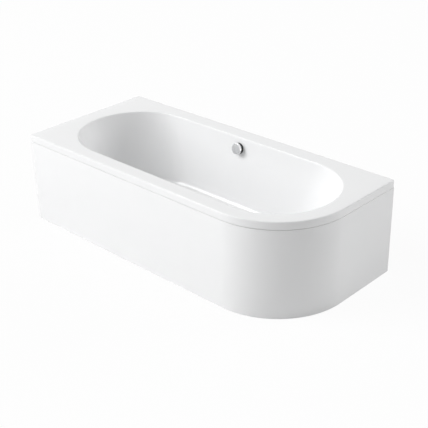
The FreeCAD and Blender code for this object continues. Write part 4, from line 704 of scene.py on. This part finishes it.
# ---------------- shell
@dataclass
class BathShell:
    """The acrylic shell: flat rim, hanging lip, double-ended basin, glass fibre behind."""

    length: float = LENGTH
    width: float = WIDTH
    rim_height: float = 0.51
    corner_radius: float = CORNER_RADIUS
    square_round: float = 0.01
    lip_height: float = 0.04
    edge_round: float = 0.006
    lip_foot_round: float = 0.0012
    lip_root_round: float = 0.003
    wall: float = 0.005
    basin_middle: tuple[float, float] = (0.01, -0.005)
    mouth: tuple[float, float] = (0.805, 0.315)
    floor: tuple[float, float] = (0.6, 0.255)
    depth: float = BASIN_DEPTH
    floor_bend: float = 0.055
    rim_roll: float = 0.008
    waste_middle: tuple[float, float] = (-0.010, -0.005)
    waste_hole: float = 0.0255
    overflow_hole: float = 0.026
    drill_sides: int = 64
    drill_length: float = 0.04
    fine: int = 14
    corner_share: int = 6
    straight_share: float = 2.6
    square_steps: int = 7
    roll_steps: int = 8
    edge_steps: int = 6
    foot_steps: int = 3
    lip_shares: tuple[float, ...] = (0.35, 0.7)
    rim_shares: tuple[float, ...] = (0.33, 0.66)
    floor_shares: tuple[float, ...] = (0.0, 0.03, 0.1, 0.22, 0.4, 0.6, 0.8, 0.93)
    outline: np.ndarray = field(init=False)
    outward: np.ndarray = field(init=False)
    facing: np.ndarray = field(init=False)
    mouth_ring: np.ndarray = field(init=False)
    floor_ring: np.ndarray = field(init=False)
    lean: np.ndarray = field(init=False)

    def __post_init__(self) -> None:
        """Works out the plan's outline, the basin's rings that face it and the wall's lean."""
        self.outline, self.outward = self.draw_outline()
        self.facing, self.mouth_ring, self.floor_ring = self.draw_basin_rings()
        run = ((self.mouth_ring - self.floor_ring) * self.facing).sum(axis=1)
        self.lean = np.arctan(run / self.depth)

    def draw_outline(self) -> tuple[np.ndarray, np.ndarray]:
        """The plan from the front end of the round corner, anticlockwise seen from above.

        Returns:
            Its points and the outward direction at each.
        """
        half_x, half_y = self.length / 2, self.width / 2
        small, large, few = self.square_round, self.corner_radius, self.square_steps
        corners = ((half_x - large, large - half_y, large, -90, self.corner_share * self.fine),
                   (half_x - small, half_y - small, small, 0, few),
                   (small - half_x, half_y - small, small, 90, few),
                   (small - half_x, small - half_y, small, 180, few))
        points, normals = [], []
        for index, (x, y, radius, start, steps) in enumerate(corners):
            for step in range(steps + 1):
                normal = heading(start + 90 * step / steps)
                points.append(np.array((x, y)) + radius * normal)
                normals.append(normal)
            after = corners[(index + 1) % len(corners)]
            normal = heading(start + 90)
            there = np.array(after[:2]) + after[2] * normal
            here = points[-1]
            run = float(np.linalg.norm(there - here))
            count = max(2, round(run * self.straight_share * self.fine))
            for step in range(1, count):
                points.append(here + (there - here) * step / count)
                normals.append(normal)
        return np.array(points), np.array(normals)

    def draw_basin_rings(self) -> tuple[np.ndarray, np.ndarray, np.ndarray]:
        """The points of the basin's mouth and floor that face each point of the outline.

        Returns:
            The outward direction, the mouth's points and the floor's points.
        """
        middle_x, middle_y = self.basin_middle
        straight = self.mouth[0] - self.mouth[1]
        floor_straight = self.floor[0] - self.floor[1]
        facing, mouth, floor = [], [], []
        for x, y in self.outline:
            along = (x - middle_x) / straight
            end = max(-1.0, min(1.0, along))
            centre = np.array((middle_x + end * straight, middle_y))
            low = np.array((middle_x + end * floor_straight, middle_y))
            if abs(along) < 1:
                direction = np.array((0.0, math.copysign(1.0, y - middle_y)))
            else:
                direction = np.array((x, y)) - centre
                direction /= np.linalg.norm(direction)
            facing.append(direction)
            mouth.append(centre + self.mouth[1] * direction)
            floor.append(low + self.floor[1] * direction)
        return np.array(facing), np.array(mouth), np.array(floor)

    def ring(self, plan: np.ndarray, height: np.ndarray | float) -> np.ndarray:
        """A ring of points from its plan and its height."""
        return np.column_stack((plan, np.broadcast_to(height, len(plan))))

    def on_wall(self, rise: np.ndarray, inwards: np.ndarray) -> np.ndarray:
        """Points at a rise above the floor, drawn in from the leaning wall."""
        plan = self.floor_ring + (self.mouth_ring - self.floor_ring) * (rise / self.depth)[:, None]
        plan = plan - self.facing * inwards[:, None]
        return self.ring(plan, self.rim_height - self.depth + rise)

    def basin_rings(self) -> tuple[list[np.ndarray], list[np.ndarray]]:
        """The basin's side from the floor's edge up to the rim.

        Returns:
            Rings of its points, and for each the direction into the sheet.
        """
        lean, steep = self.lean, np.tan(self.lean)
        rings, inner = [], []
        bend = self.floor_bend
        for step in range(self.fine + 1):
            angle = (math.pi / 2 - lean) * step / self.fine
            rise = bend * (1 - np.cos(angle))
            across = bend * (np.sin(angle) - (1 - np.sin(lean)) / np.cos(lean))
            rings.append(self.on_wall(rise, rise * steep - across))
            inner.append(self.into_sheet(angle))
        low = bend * (1 - np.sin(lean))
        high = self.depth - self.rim_roll * (1 - np.sin(lean))
        for step in range(1, self.fine):
            rise = low + (high - low) * step / self.fine
            rings.append(self.on_wall(rise, 0 * rise))
            inner.append(self.into_sheet(math.pi / 2 - lean))
        for step in range(self.roll_steps, -1, -1):
            angle = (math.pi / 2 - lean) * step / self.roll_steps
            drop = self.rim_roll * (1 - np.cos(angle))
            across = self.rim_roll * ((1 - np.sin(lean)) / np.cos(lean) - np.sin(angle))
            rise = self.depth - drop
            rings.append(self.on_wall(rise, -drop * steep - across))
            inner.append(self.into_sheet(angle))
        return rings, inner

    def into_sheet(self, angle: np.ndarray) -> np.ndarray:
        """The direction from the seen face into the sheet, by the slope's angle."""
        return np.column_stack((self.facing * np.sin(angle)[:, None], -np.cos(angle)))

    def edge_arc(self, corner: tuple[float, float], reach: tuple[float, float], steps: int,
                 starts_level: bool) -> list[np.ndarray]:
        """Rings round a quarter circle at one edge of the lip.

        Args:
            corner: the edge's inset from the outline and its height, as if it were sharp.
            reach: how far the arc reaches from there, inwards and upwards.
            steps: how many faces it has.
            starts_level: whether it starts on the level side of the edge.

        Returns:
            Its rings.
        """
        rings = []
        for step in range(steps + 1):
            angle = math.pi / 2 * step / steps
            across, along = 1 - math.sin(angle), 1 - math.cos(angle)
            if not starts_level:
                across, along = along, across
            inset, height = corner[0] + reach[0] * across, corner[1] + reach[1] * along
            rings.append(self.ring(self.outline - self.outward * inset, height))
        return rings

    def lip_rings(self) -> tuple[list[np.ndarray], list[np.ndarray]]:
        """The rim's outer edge, the lip down its outside and up behind, to under the rim.

        Returns:
            The rings on the acrylic's face, and those behind it.
        """
        edge, foot, root, few = (self.edge_round, self.lip_foot_round, self.lip_root_round,
                                 self.foot_steps)
        top, bottom = self.rim_height, self.rim_height - self.lip_height
        seen = self.edge_arc((0.0, top), (edge, -edge), self.edge_steps, True)
        seen += [self.ring(self.outline, top - edge + (bottom + foot - top + edge) * share)
                 for share in self.lip_shares]
        seen += self.edge_arc((0.0, bottom), (foot, foot), few, False)
        seen += self.edge_arc((self.wall, bottom), (-foot, foot), few, True)
        behind = self.edge_arc((self.wall, top - self.wall), (root, -root), few, False)
        return seen, behind

    def floor_rings(self, edge: np.ndarray) -> list[np.ndarray]:
        """Flat rings from the waste hole out to the floor's edge."""
        middle = np.array(self.waste_middle)
        away = edge[:, :2] - middle
        hole = middle + self.waste_hole * away / np.linalg.norm(away, axis=1)[:, None]
        return [self.ring(hole + (edge[:, :2] - hole) * share, edge[0, 2])
                for share in self.floor_shares]

    def mesh(self) -> bpy.types.Object:
        """The closed sheet as one mesh, with the hole for the overflow.

        Returns:
            Its object, faces behind the acrylic on the second material.
        """
        side, ways = self.basin_rings()
        under = [ring + self.wall * way for ring, way in zip(side, ways)]
        floor = self.floor_rings(side[0])
        floor_under = self.floor_rings(under[0])
        lip, lip_behind = self.lip_rings()
        rim = [side[-1] + (lip[0] - side[-1]) * share for share in self.rim_shares]
        rim_under = [lip_behind[-1] + (under[-1] - lip_behind[-1]) * share
                     for share in self.rim_shares]
        seen = floor + side + rim + lip
        hidden = lip_behind + rim_under + under[::-1] + floor_under[::-1]
        rings = seen + hidden
        count, first_hidden = len(self.outline), len(seen)
        points = np.concatenate(rings)
        faces, behind = [], []
        for row in range(len(rings)):
            below = (row + 1) % len(rings)
            for column in range(count):
                right = (column + 1) % count
                faces.append((row * count + column, row * count + right,
                              below * count + right, below * count + column))
                behind.append(int(first_hidden - 1 <= row < len(rings) - 1))
        thing = make_mesh("bath_shell_acrylic", points, faces)
        for material in (ACRYLIC.material(), GLASS_FIBRE.material()):
            thing.data.materials.append(material)
        thing.data.polygons.foreach_set("material_index", behind)
        return self.pierce(thing)

    def pierce(self, thing: bpy.types.Object) -> bpy.types.Object:
        """Cuts the overflow's hole square to the back wall of the basin."""
        work = bmesh.new()
        bmesh.ops.create_cone(work, cap_ends=True, segments=self.drill_sides,
                              radius1=self.overflow_hole, radius2=self.overflow_hole,
                              depth=self.drill_length, matrix=square_to_wall())
        mesh = bpy.data.meshes.new("overflow_drill")
        work.to_mesh(mesh)
        work.free()
        drill = link_mesh("overflow_drill", mesh)
        cut = thing.modifiers.new("overflow_hole", "BOOLEAN")
        cut.object, cut.operation, cut.solver = drill, "DIFFERENCE", "EXACT"
        settle(thing)
        bpy.data.objects.remove(drill)
        return thing

    def build(self) -> None:
        """Makes the shell, dresses it and puts it in the place of its solid."""
        thing = self.mesh()
        stand_in(thing, "bath", "bath_shell")
        behind = sum(face.material_index for face in thing.data.polygons)
        LOG.info("%s: %d of them glass fibre", thing.name, behind)


# ---------------- panel
@dataclass
class FrontPanel:
    """The moulded panel, swept round the front, the round corner and the right end."""

    length: float = LENGTH
    width: float = WIDTH
    corner_radius: float = CORNER_RADIUS
    inset: float = 0.001
    end_gap: float = 0.001
    floor_gap: float = 0.002
    top: float = 0.468
    wall: float = 0.005
    head_return: float = 0.007
    foot_return: float = 0.025
    edge_round: float = 0.0012
    edge_steps: int = 4
    arc_steps: int = 72

    def tree(self) -> Growth:
        """A channel profile swept along the bath's open sides."""
        tree = Growth("panel_sweep")
        west, east, south, north, corner, low, height, wall, head, foot, edge = tree.sizes(
            "West", "East", "South", "North", "Corner Radius", "Floor Gap", "Height", "Wall",
            "Head Return", "Foot Return", "Edge Round")
        steps = tree.size("Arc Steps", kind="Int")
        path = tree.corners([tree.vector(west, south, low), tree.vector(east, south, low),
                             tree.vector(east, north, low)])
        upright = tree.out("GeometryNodeSetCurveNormal",
                           {"Curve": tree.rounded(path, corner, steps)}, mode="Z_UP")
        deep, wide = tree.math("ADD", wall, head), tree.math("ADD", wall, foot)
        under = tree.math("SUBTRACT", height, wall)
        corners = ((0.0, 0.0), (wide, 0.0), (wide, wall), (wall, wall), (wall, under),
                   (deep, under), (deep, height), (0.0, height))
        profile = tree.corners([tree.vector(x, y) for x, y in corners])
        loop = tree.out("GeometryNodeSetSplineCyclic", {"Geometry": profile, "Cyclic": True})
        turned = tree.moved(tree.rounded(loop, edge, self.edge_steps), (0.0, 0.0, 0.0),
                            (0.0, 0.0, math.pi))
        return tree.close(tree.out("GeometryNodeCurveToMesh", {
            "Curve": upright, "Profile Curve": turned, "Fill Caps": True}))

    def build(self) -> None:
        """Makes the panel and puts it in the place of its solid."""
        face_x, face_y = self.length / 2 - self.inset, self.width / 2 - self.inset
        thing = self.tree().grow(
            "front_panel_acrylic", bpy.data.meshes.new("panel_start"), ACRYLIC_PANEL.material(),
            West=self.end_gap - self.length / 2, East=face_x, South=-face_y,
            North=self.width / 2 - self.end_gap, Corner_Radius=self.corner_radius - self.inset,
            Floor_Gap=self.floor_gap, Height=self.top - self.floor_gap, Wall=self.wall,
            Head_Return=self.head_return, Foot_Return=self.foot_return,
            Edge_Round=self.edge_round, Arc_Steps=self.arc_steps)
        stand_in(thing, "panel", "front_panel")


# ---------------- frame under the bath
class Edge(Enum):
    """How wide the edges of one kind of piece are eased, in metres."""

    SMOOTH = 0.0
    POLISHED = 0.0003
    RUBBER = 0.0004
    SMALL_STEEL = 0.0005
    SHEET = 0.0006
    BOARD = 0.0008
    FOOT = 0.001
    TIMBER = 0.0012


@dataclass
class DressedNodes:
    """Pieces of the frame that keep their own solid, or a copy with eased edges."""

    nodes: dict[str, bpy.types.Object]
    flat_angle: float = math.radians(1)
    eased_angle: float = math.radians(40)
    segments: int = 2

    def dress(self, finish: Finish, *names: str) -> None:
        """Gives frame nodes one finish."""
        material = finish.material()
        for name in names:
            paint(self.nodes[name], material)
            LOG.info("%s: %s", name, material.name)

    def ease(self, finish: Finish, slot: str, edge: Edge, *names: str) -> None:
        """Stands smooth copies with eased edges in for frame nodes.

        Args:
            finish: their finish.
            slot: the name of the record's slot for these pieces; not used.
            edge: how wide their edges are eased.
            names: the nodes' names.
        """
        material = finish.material()
        for name in names:
            node = self.nodes[name]
            work = bmesh.new()
            work.from_mesh(node.data)
            bmesh.ops.remove_doubles(work, verts=work.verts, dist=MERGE_DISTANCE)
            bmesh.ops.dissolve_limit(work, angle_limit=self.flat_angle, verts=work.verts,
                                     edges=work.edges)
            mesh = bpy.data.meshes.new(f"{name}_eased")
            work.to_mesh(mesh)
            work.free()
            thing = link_mesh(f"{name}_eased", mesh)
            if edge is not Edge.SMOOTH:
                bevel = thing.modifiers.new("easing", "BEVEL")
                bevel.width, bevel.segments = edge.value, self.segments
                bevel.limit_method, bevel.angle_limit = "ANGLE", self.eased_angle
                bevel.use_clamp_overlap = True
            settle(thing)
            paint(thing, material)
            stand_in(thing, node["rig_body"], name)


@dataclass
class WoodScrews:
    """Pan-head wood screws with a cross recess, driven up through what they clamp."""

    head_radius: float = 0.004
    shank_radius: float = 0.002
    head_height: float = 0.0025
    pitch: float = 0.0016
    thread: float = 0.0005
    recess: float = 0.0009
    recess_reach: float = 1.1
    recess_depth: float = 1.2
    head_sides: int = 20
    head_rings: int = 12
    shank_sides: int = 12
    shank_rings: int = 48

    def tree(self) -> Growth:
        """One screw, instanced at each point and stretched to its length."""
        tree = Growth("wood_screws")
        head, tall, shank, length, pitch, thread, recess = tree.sizes(
            "Head Radius", "Head Height", "Shank Radius", "Length", "Pitch", "Thread", "Recess")
        ball = tree.out("GeometryNodeMeshUVSphere", {
            "Segments": self.head_sides, "Rings": self.head_rings, "Radius": 1.0})
        x, y, z = tree.here()
        flat = tree.vector(tree.math("MULTIPLY", x, head), tree.math("MULTIPLY", y, head),
                           tree.math("MULTIPLY", tree.math("MINIMUM", z, 0.0), tall))
        dome = tree.out("GeometryNodeMergeByDistance", {
            "Geometry": tree.reshaped(ball, flat), "Distance": MERGE_DISTANCE})
        arm = tree.math("MULTIPLY", head, self.recess_reach)
        depth = tree.math("MULTIPLY", tall, self.recess_depth)
        slots = [tree.out("GeometryNodeMeshCube", {"Size": tree.vector(*size, depth)})
                 for size in ((arm, recess), (recess, arm))]
        cross = tree.moved(tree.join(*slots), tree.up(tall, -1.0))
        carved = tree.out("GeometryNodeMeshBoolean", {0: dome, 1: cross},
                          operation="DIFFERENCE", solver="EXACT")
        rod = tree.moved(tree.cylinder(self.shank_sides, self.shank_rings, shank, length),
                         tree.up(length, 0.5))
        screw = tree.join(carved, tree.threaded(rod, pitch, thread, shank))
        return tree.close(tree.on_points(tree.source.outputs["Geometry"], screw))

    def build(self, nodes: dict[str, bpy.types.Object], *names: str) -> None:
        """Makes the screws of each node at the places of its solids."""
        tree, finish = self.tree(), SCREW_STEEL.material()
        for name in names:
            boxes = islands(nodes[name])
            points = [foot_of(*box, self.head_height) for box in boxes]
            base = bpy.data.meshes.new(f"{name}_points")
            base.from_pydata(points, [], [])
            low, high = boxes[0]
            thing = tree.grow(f"{name}_threaded", base, finish, Head_Radius=self.head_radius,
                              Head_Height=self.head_height, Shank_Radius=self.shank_radius,
                              Length=high.z - low.z - self.head_height, Pitch=self.pitch,
                              Thread=self.thread, Recess=self.recess)
            stand_in(thing, nodes[name]["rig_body"], name)


@dataclass
class FootStuds:
    """The four threaded studs that the bath stands on."""

    radius: float = 0.005
    pitch: float = 0.0015
    thread: float = 0.0008
    sides: int = 28
    rings_per_turn: int = 6

    def tree(self) -> Growth:
        """A threaded rod between two heights."""
        tree = Growth("threaded_stud")
        radius, length, pitch, thread = tree.sizes("Radius", "Length", "Pitch", "Thread")
        sides, rings = tree.sizes("Sides", "Rings", kind="Int")
        foot = tree.size("Foot", kind="Vector")
        rod = tree.cylinder(sides, rings, radius, length)
        middle = tree.out("ShaderNodeVectorMath", {0: foot, 1: tree.up(length, 0.5)},
                          operation="ADD")
        return tree.close(tree.moved(tree.threaded(rod, pitch, thread, radius), middle))

    def build(self, nodes: dict[str, bpy.types.Object], *names: str) -> None:
        """Makes each stud at the place of its solid."""
        tree, finish = self.tree(), SCREW_STEEL.material()
        for name in names:
            low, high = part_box(name)
            length = high.z - low.z
            thing = tree.grow(
                f"{name}_threaded", bpy.data.meshes.new(f"{name}_start"), finish,
                Radius=self.radius, Length=length, Pitch=self.pitch, Thread=self.thread,
                Sides=self.sides, Rings=round(length / self.pitch * self.rings_per_turn),
                Foot=foot_of(low, high))
            stand_in(thing, nodes[name]["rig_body"], name)


# ---------------- fittings
@dataclass
class OverflowKnob:
    """The turned chrome knob in front of the overflow, with its softly crowned face."""

    radius: float = 0.032
    face_radius: float = 0.0295
    rise: float = 0.028
    back: float = 0.017
    band: float = 0.022
    wall: float = 0.0032
    crown: float = 0.0009
    front_round: float = 0.0022
    front_turn: float = math.radians(78)
    back_round: float = 0.0011
    inner_step: float = 0.0025
    bore: float = 0.005
    bore_floor: float = 0.022
    hub_radius: float = 0.009
    hub_back: float = 0.007
    sides: int = 96
    face_steps: int = 8
    front_steps: int = 5
    back_steps: int = 4

    def section(self) -> list[tuple[float, float]]:
        """Half of the knob's section, from the middle of its face round to its bore.

        Returns:
            Radius and height of each point, with arcs at the rim's edges.
        """
        points = [(0.0, self.rise)]
        flat = self.face_radius - self.front_round
        for step in range(1, self.face_steps + 1):
            share = step / self.face_steps
            points.append((flat * share, self.rise - self.crown * share ** 2))
        low = self.rise - self.crown
        for step in range(1, self.front_steps + 1):
            angle = self.front_turn * step / self.front_steps
            points.append((flat + self.front_round * math.sin(angle),
                           low - self.front_round * (1 - math.cos(angle))))
        points.append((self.radius, self.band))
        edge = self.back_round
        for step in range(self.back_steps + 1):
            angle = math.pi / 2 * step / self.back_steps
            points.append((self.radius - edge * (1 - math.cos(angle)),
                           self.back + edge * (1 - math.sin(angle))))
        under = self.rise - self.wall
        points += [(self.radius - self.wall, self.back),
                   (self.face_radius - self.inner_step, under),
                   (self.hub_radius, under), (self.hub_radius, self.hub_back),
                   (self.bore, self.hub_back), (self.bore, self.bore_floor),
                   (0.0, self.bore_floor)]
        return points

    def build(self) -> None:
        """Turns the knob, sets it on the wall's slope and puts it in its solid's place."""
        section = self.section()
        points, faces = [(0.0, 0.0, section[0][1])], []
        for radius, height in section[1:-1]:
            for side in range(self.sides):
                angle = math.tau * side / self.sides
                points.append((radius * math.cos(angle), radius * math.sin(angle), height))
        points.append((0.0, 0.0, section[-1][1]))
        rings, last = len(section) - 2, len(points) - 1
        for side in range(self.sides):
            after = (side + 1) % self.sides
            faces.append((0, 1 + side, 1 + after))
            for ring in range(rings - 1):
                start = 1 + ring * self.sides
                faces.append((start + side, start + self.sides + side,
                              start + self.sides + after, start + after))
            start = 1 + (rings - 1) * self.sides
            faces.append((start + side, last, start + after))
        lay = square_to_wall()
        placed = np.array([lay @ Vector(point) for point in points])
        thing = make_mesh("overflow_knob_turned", placed, faces)
        paint(thing, CHROME.material())
        stand_in(thing, "knob", "overflow_knob")


@dataclass(frozen=True)
class Grip:
    """The grip ribs of one nut or cap: its axis, and their count, ring radius and length."""

    node: str
    slot: str
    axis: tuple[float, float, float]
    count: int
    ring: float
    length: float


HOSE_NUT_GRIPS = (
    Grip("hose_nut_upper", "black_plastic",
         (0.0, -math.sin(BACK_WALL_TILT), -math.cos(BACK_WALL_TILT)), 24, 0.0200, 0.0125),
    Grip("hose_nut_lower", "black_plastic", (0.0, 1.0, 0.0), 24, 0.0200, 0.0125))
TRAP_GRIPS = (
    Grip("trap_union_nut", "white_plastic", (0.0, 0.0, 1.0), 30, 0.0235, 0.0085),
    Grip("trap_cleaning_cap", "white_plastic", (0.0, 1.0, 0.0), 20, 0.0140, 0.0075))


@dataclass
class GripRibs:
    """Half-round ribs round the nuts and the cap that are turned by hand."""

    rib_radius: float = 0.0011
    rib_sides: int = 10

    def tree(self) -> Growth:
        """Ribs instanced on a ring, and turned to the nut's own axis."""
        tree = Growth("grip_ribs")
        ring, length, rib = tree.sizes("Ring", "Length", "Rib Radius")
        count = tree.size("Count", kind="Int")
        middle, axis = tree.sizes("Middle", "Axis", kind="Vector")
        circle = tree.out("GeometryNodeMeshCircle", {"Vertices": count, "Radius": ring})
        placed = tree.on_points(circle, tree.cylinder(self.rib_sides, 1, rib, length))
        turn = tree.out("FunctionNodeAlignRotationToVector", {"Vector": axis}, axis="Z")
        return tree.close(tree.moved(placed, middle, turn))

    def build(self, nodes: dict[str, bpy.types.Object], finish: Finish, *grips: Grip) -> None:
        """Makes the ribs of each nut.

        Args:
            nodes: the frame's nodes.
            finish: the ribs' finish.
            grips: where they stand.
        """
        tree, material = self.tree(), finish.material()
        for grip in grips:
            low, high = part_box(grip.node)
            name = f"{grip.node}_ribs"
            thing = tree.grow(name, bpy.data.meshes.new(f"{name}_start"), material,
                              Ring=grip.ring, Length=grip.length, Rib_Radius=self.rib_radius,
                              Count=grip.count, Middle=(low + high) / 2, Axis=grip.axis)
            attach(thing, nodes[grip.node]["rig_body"])
            LOG.info("%s: %d ribs", name, grip.count)


# ---------------- studio
@dataclass(frozen=True)
class Lamp:
    """A soft lamp: degrees right of the front, degrees up, watts, and whether gloss shows it."""

    name: str
    azimuth: float
    elevation: float
    power: float
    mirrored: bool = False


@dataclass
class Studio:
    """Plain pale floor, soft lamps and the camera at the photograph's angle."""

    lamps: tuple[Lamp, ...] = (
        Lamp("low_front_lamp", -53.0, 20.0, 1580.0),
        Lamp("high_front_lamp", -42.0, 42.0, 2010.0, mirrored=True),
        Lamp("back_lamp", 150.0, 20.0, 1550.0),
        Lamp("right_lamp", 120.0, 20.0, 150.0))
    camera_place: tuple[float, float, float] = (3.027, -3.082, 2.401)
    camera_azimuth: float = 43.7
    camera_elevation: float = 27.28
    camera_roll: float = -1.18
    focal_pixels: float = 923.38
    sensor: float = 36.0
    ambient: float = 0.39
    floor_side: float = 60.0
    floor_colour: tuple[float, float, float, float] = (0.8, 0.8, 0.8, 1.0)
    floor_glow: float = 0.94
    lamp_distance: float = 20.0
    lamp_side: float = 9.0
    lamp_target: tuple[float, float, float] = (0.0, 0.0, 0.3)

    def camera(self) -> None:
        """Makes the camera and sets it as the scene's."""
        data = bpy.data.cameras.new("camera")
        data.sensor_width = self.sensor
        data.lens = self.sensor * self.focal_pixels / IMAGE_SIDE
        thing = bpy.data.objects.new("camera", data)
        azimuth, elevation, roll = (math.radians(angle) for angle in (
            self.camera_azimuth, self.camera_elevation, self.camera_roll))
        turn = (Matrix.Rotation(azimuth, 3, "Z")
                @ Matrix.Rotation(math.pi / 2 - elevation, 3, "X")
                @ Matrix.Rotation(roll, 3, "Z"))
        thing.matrix_world = Matrix.Translation(self.camera_place) @ turn.to_4x4()
        bpy.context.scene.collection.objects.link(thing)
        bpy.context.scene.camera = thing

    def backdrop_rays(self, graph: Graph) -> Socket:
        """1 for the rays that show the backdrop: camera, glossy and transmission."""
        path = graph.add("ShaderNodeLightPath").outputs
        either = graph.math("MAXIMUM", path["Is Camera Ray"], path["Is Glossy Ray"])
        return graph.math("MAXIMUM", either, path["Is Transmission Ray"])

    def world(self) -> None:
        """White to the eye, and a soft even light on the bath."""
        world = bpy.data.worlds.new("studio")
        world.use_nodes = True
        bpy.context.scene.world = world
        graph = Graph(world.node_tree)
        seen = self.backdrop_rays(graph)
        strength = graph.math("ADD", graph.math("MULTIPLY", seen, 1 - self.ambient),
                              self.ambient)
        light = graph.out("ShaderNodeBackground", {"Color": WHITE, "Strength": strength})
        graph.add("ShaderNodeOutputWorld", {"Surface": light})

    def floor(self) -> None:
        """A pale floor that keeps the object's shadow."""
        half = self.floor_side / 2
        points = np.array(((-half, -half, 0), (half, -half, 0), (half, half, 0), (-half, half, 0)))
        thing = make_mesh("studio_floor", points, [(0, 1, 2, 3)])
        material = bpy.data.materials.new("pale_floor")
        material.use_nodes = True
        graph = Graph(material.node_tree)
        lit = graph.out("ShaderNodeBsdfDiffuse", {"Color": self.floor_colour})
        glow = graph.out("ShaderNodeEmission", {"Color": WHITE, "Strength": 1.0})
        share = graph.math("MULTIPLY", self.backdrop_rays(graph), self.floor_glow)
        mix = graph.out("ShaderNodeMixShader", {0: share, 1: lit, 2: glow})
        graph.add("ShaderNodeOutputMaterial", {"Surface": mix})
        paint(thing, material)

    def hang(self, lamp: Lamp) -> None:
        """Makes a square area lamp that faces the middle of the bath.

        Args:
            lamp: where it stands, and its power.
        """
        data = bpy.data.lights.new(lamp.name, "AREA")
        data.shape, data.size, data.energy = "SQUARE", self.lamp_side, lamp.power
        thing = bpy.data.objects.new(lamp.name, data)
        around, up = math.radians(lamp.azimuth), math.radians(lamp.elevation)
        away = Vector((math.sin(around) * math.cos(up), -math.cos(around) * math.cos(up),
                       math.sin(up)))
        thing.location = Vector(self.lamp_target) + away * self.lamp_distance
        thing.rotation_euler = away.to_track_quat("Z", "Y").to_euler()
        thing.visible_glossy = lamp.mirrored
        bpy.context.scene.collection.objects.link(thing)

    def build(self) -> None:
        """Makes everything that isn't part of the bath."""
        self.camera()
        self.world()
        self.floor()
        for lamp in self.lamps:
            self.hang(lamp)
        bpy.context.scene.view_settings.view_transform = "Standard"
        LOG.info("studio ready")


def main() -> None:
    """Builds the bath's looks in order round the frame."""
    logging.basicConfig(level=logging.INFO, format="%(message)s")
    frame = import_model()
    nodes = frame["nodes"]
    Studio().build()
    BathShell().build()
    FrontPanel().build()
    dressed = DressedNodes(nodes)
    dressed.ease(Timber(Grain.ALONG_X), "timber", Edge.TIMBER, "rim_batten_front",
                 "rim_batten_back")
    dressed.ease(Timber(Grain.ALONG_Y), "timber", Edge.TIMBER, "rim_batten_left",
                 "rim_batten_right")
    dressed.ease(Timber(Grain.SLANTED), "timber", Edge.TIMBER, "rim_batten_corner")
    dressed.ease(Chipboard(), "chipboard", Edge.BOARD, "base_board")
    dressed.ease(ZINC, "zinc_steel", Edge.SHEET, "leg_rail_left", "leg_rail_right",
                 "panel_brackets", "panel_struts", "wall_brackets_back", "wall_brackets_left",
                 "panel_strike_plates")
    dressed.ease(NICKEL, "magnet_steel", Edge.SHEET, "panel_magnets")
    WoodScrews().build(nodes, "rail_screws", "panel_bracket_screws", "panel_strut_screws",
                       "wall_bracket_screws")
    corners = ("front_left", "front_right", "back_left", "back_right")
    FootStuds().build(nodes, *(f"foot_stud_{corner}" for corner in corners))
    dressed.ease(FOOT_PLASTIC, "foot_plastic", Edge.FOOT,
                 *(f"foot_pad_{corner}" for corner in corners))
    dressed.ease(SCREW_STEEL, "screw_steel", Edge.SMALL_STEEL, "foot_lock_nuts", "overflow_screws",
                 "lever_pin", "plug_stem", "knob_spindle")
    dressed.ease(RUBBER, "gasket_rubber", Edge.RUBBER, "overflow_gasket", "waste_seal_upper",
                 "waste_seal_lower", "plug_seal", "trap_seal")
    dressed.ease(BLACK_PLASTIC, "black_plastic", Edge.SHEET, "overflow_housing", "hose_nut_upper",
                 "hose_nut_lower", "waste_body", "overflow_faceplate")
    dressed.ease(CHROME, "chrome", Edge.POLISHED, "waste_flange", "waste_plug")
    OverflowKnob().build()
    dressed.ease(WHITE_PLASTIC, "white_plastic", Edge.SHEET, "cable_wheel", "lift_lever",
                 "trap_cleaning_cap", "trap_union_nut", "outlet_pipe", "outlet_coupling")
    dressed.ease(WHITE_PLASTIC, "white_plastic", Edge.SMOOTH, "trap_body")
    dressed.ease(HOSE_PLASTIC, "hose_plastic", Edge.SMOOTH, "overflow_hose")
    dressed.ease(CABLE_SHEATH, "cable_sheath", Edge.SMOOTH, "control_cable")
    dressed.dress(SCREW_STEEL, "knob_grub_screw")
    GripRibs().build(nodes, BLACK_PLASTIC, *HOSE_NUT_GRIPS)
    GripRibs().build(nodes, WHITE_PLASTIC, *TRAP_GRIPS)


if __name__ == "__main__":
    main()
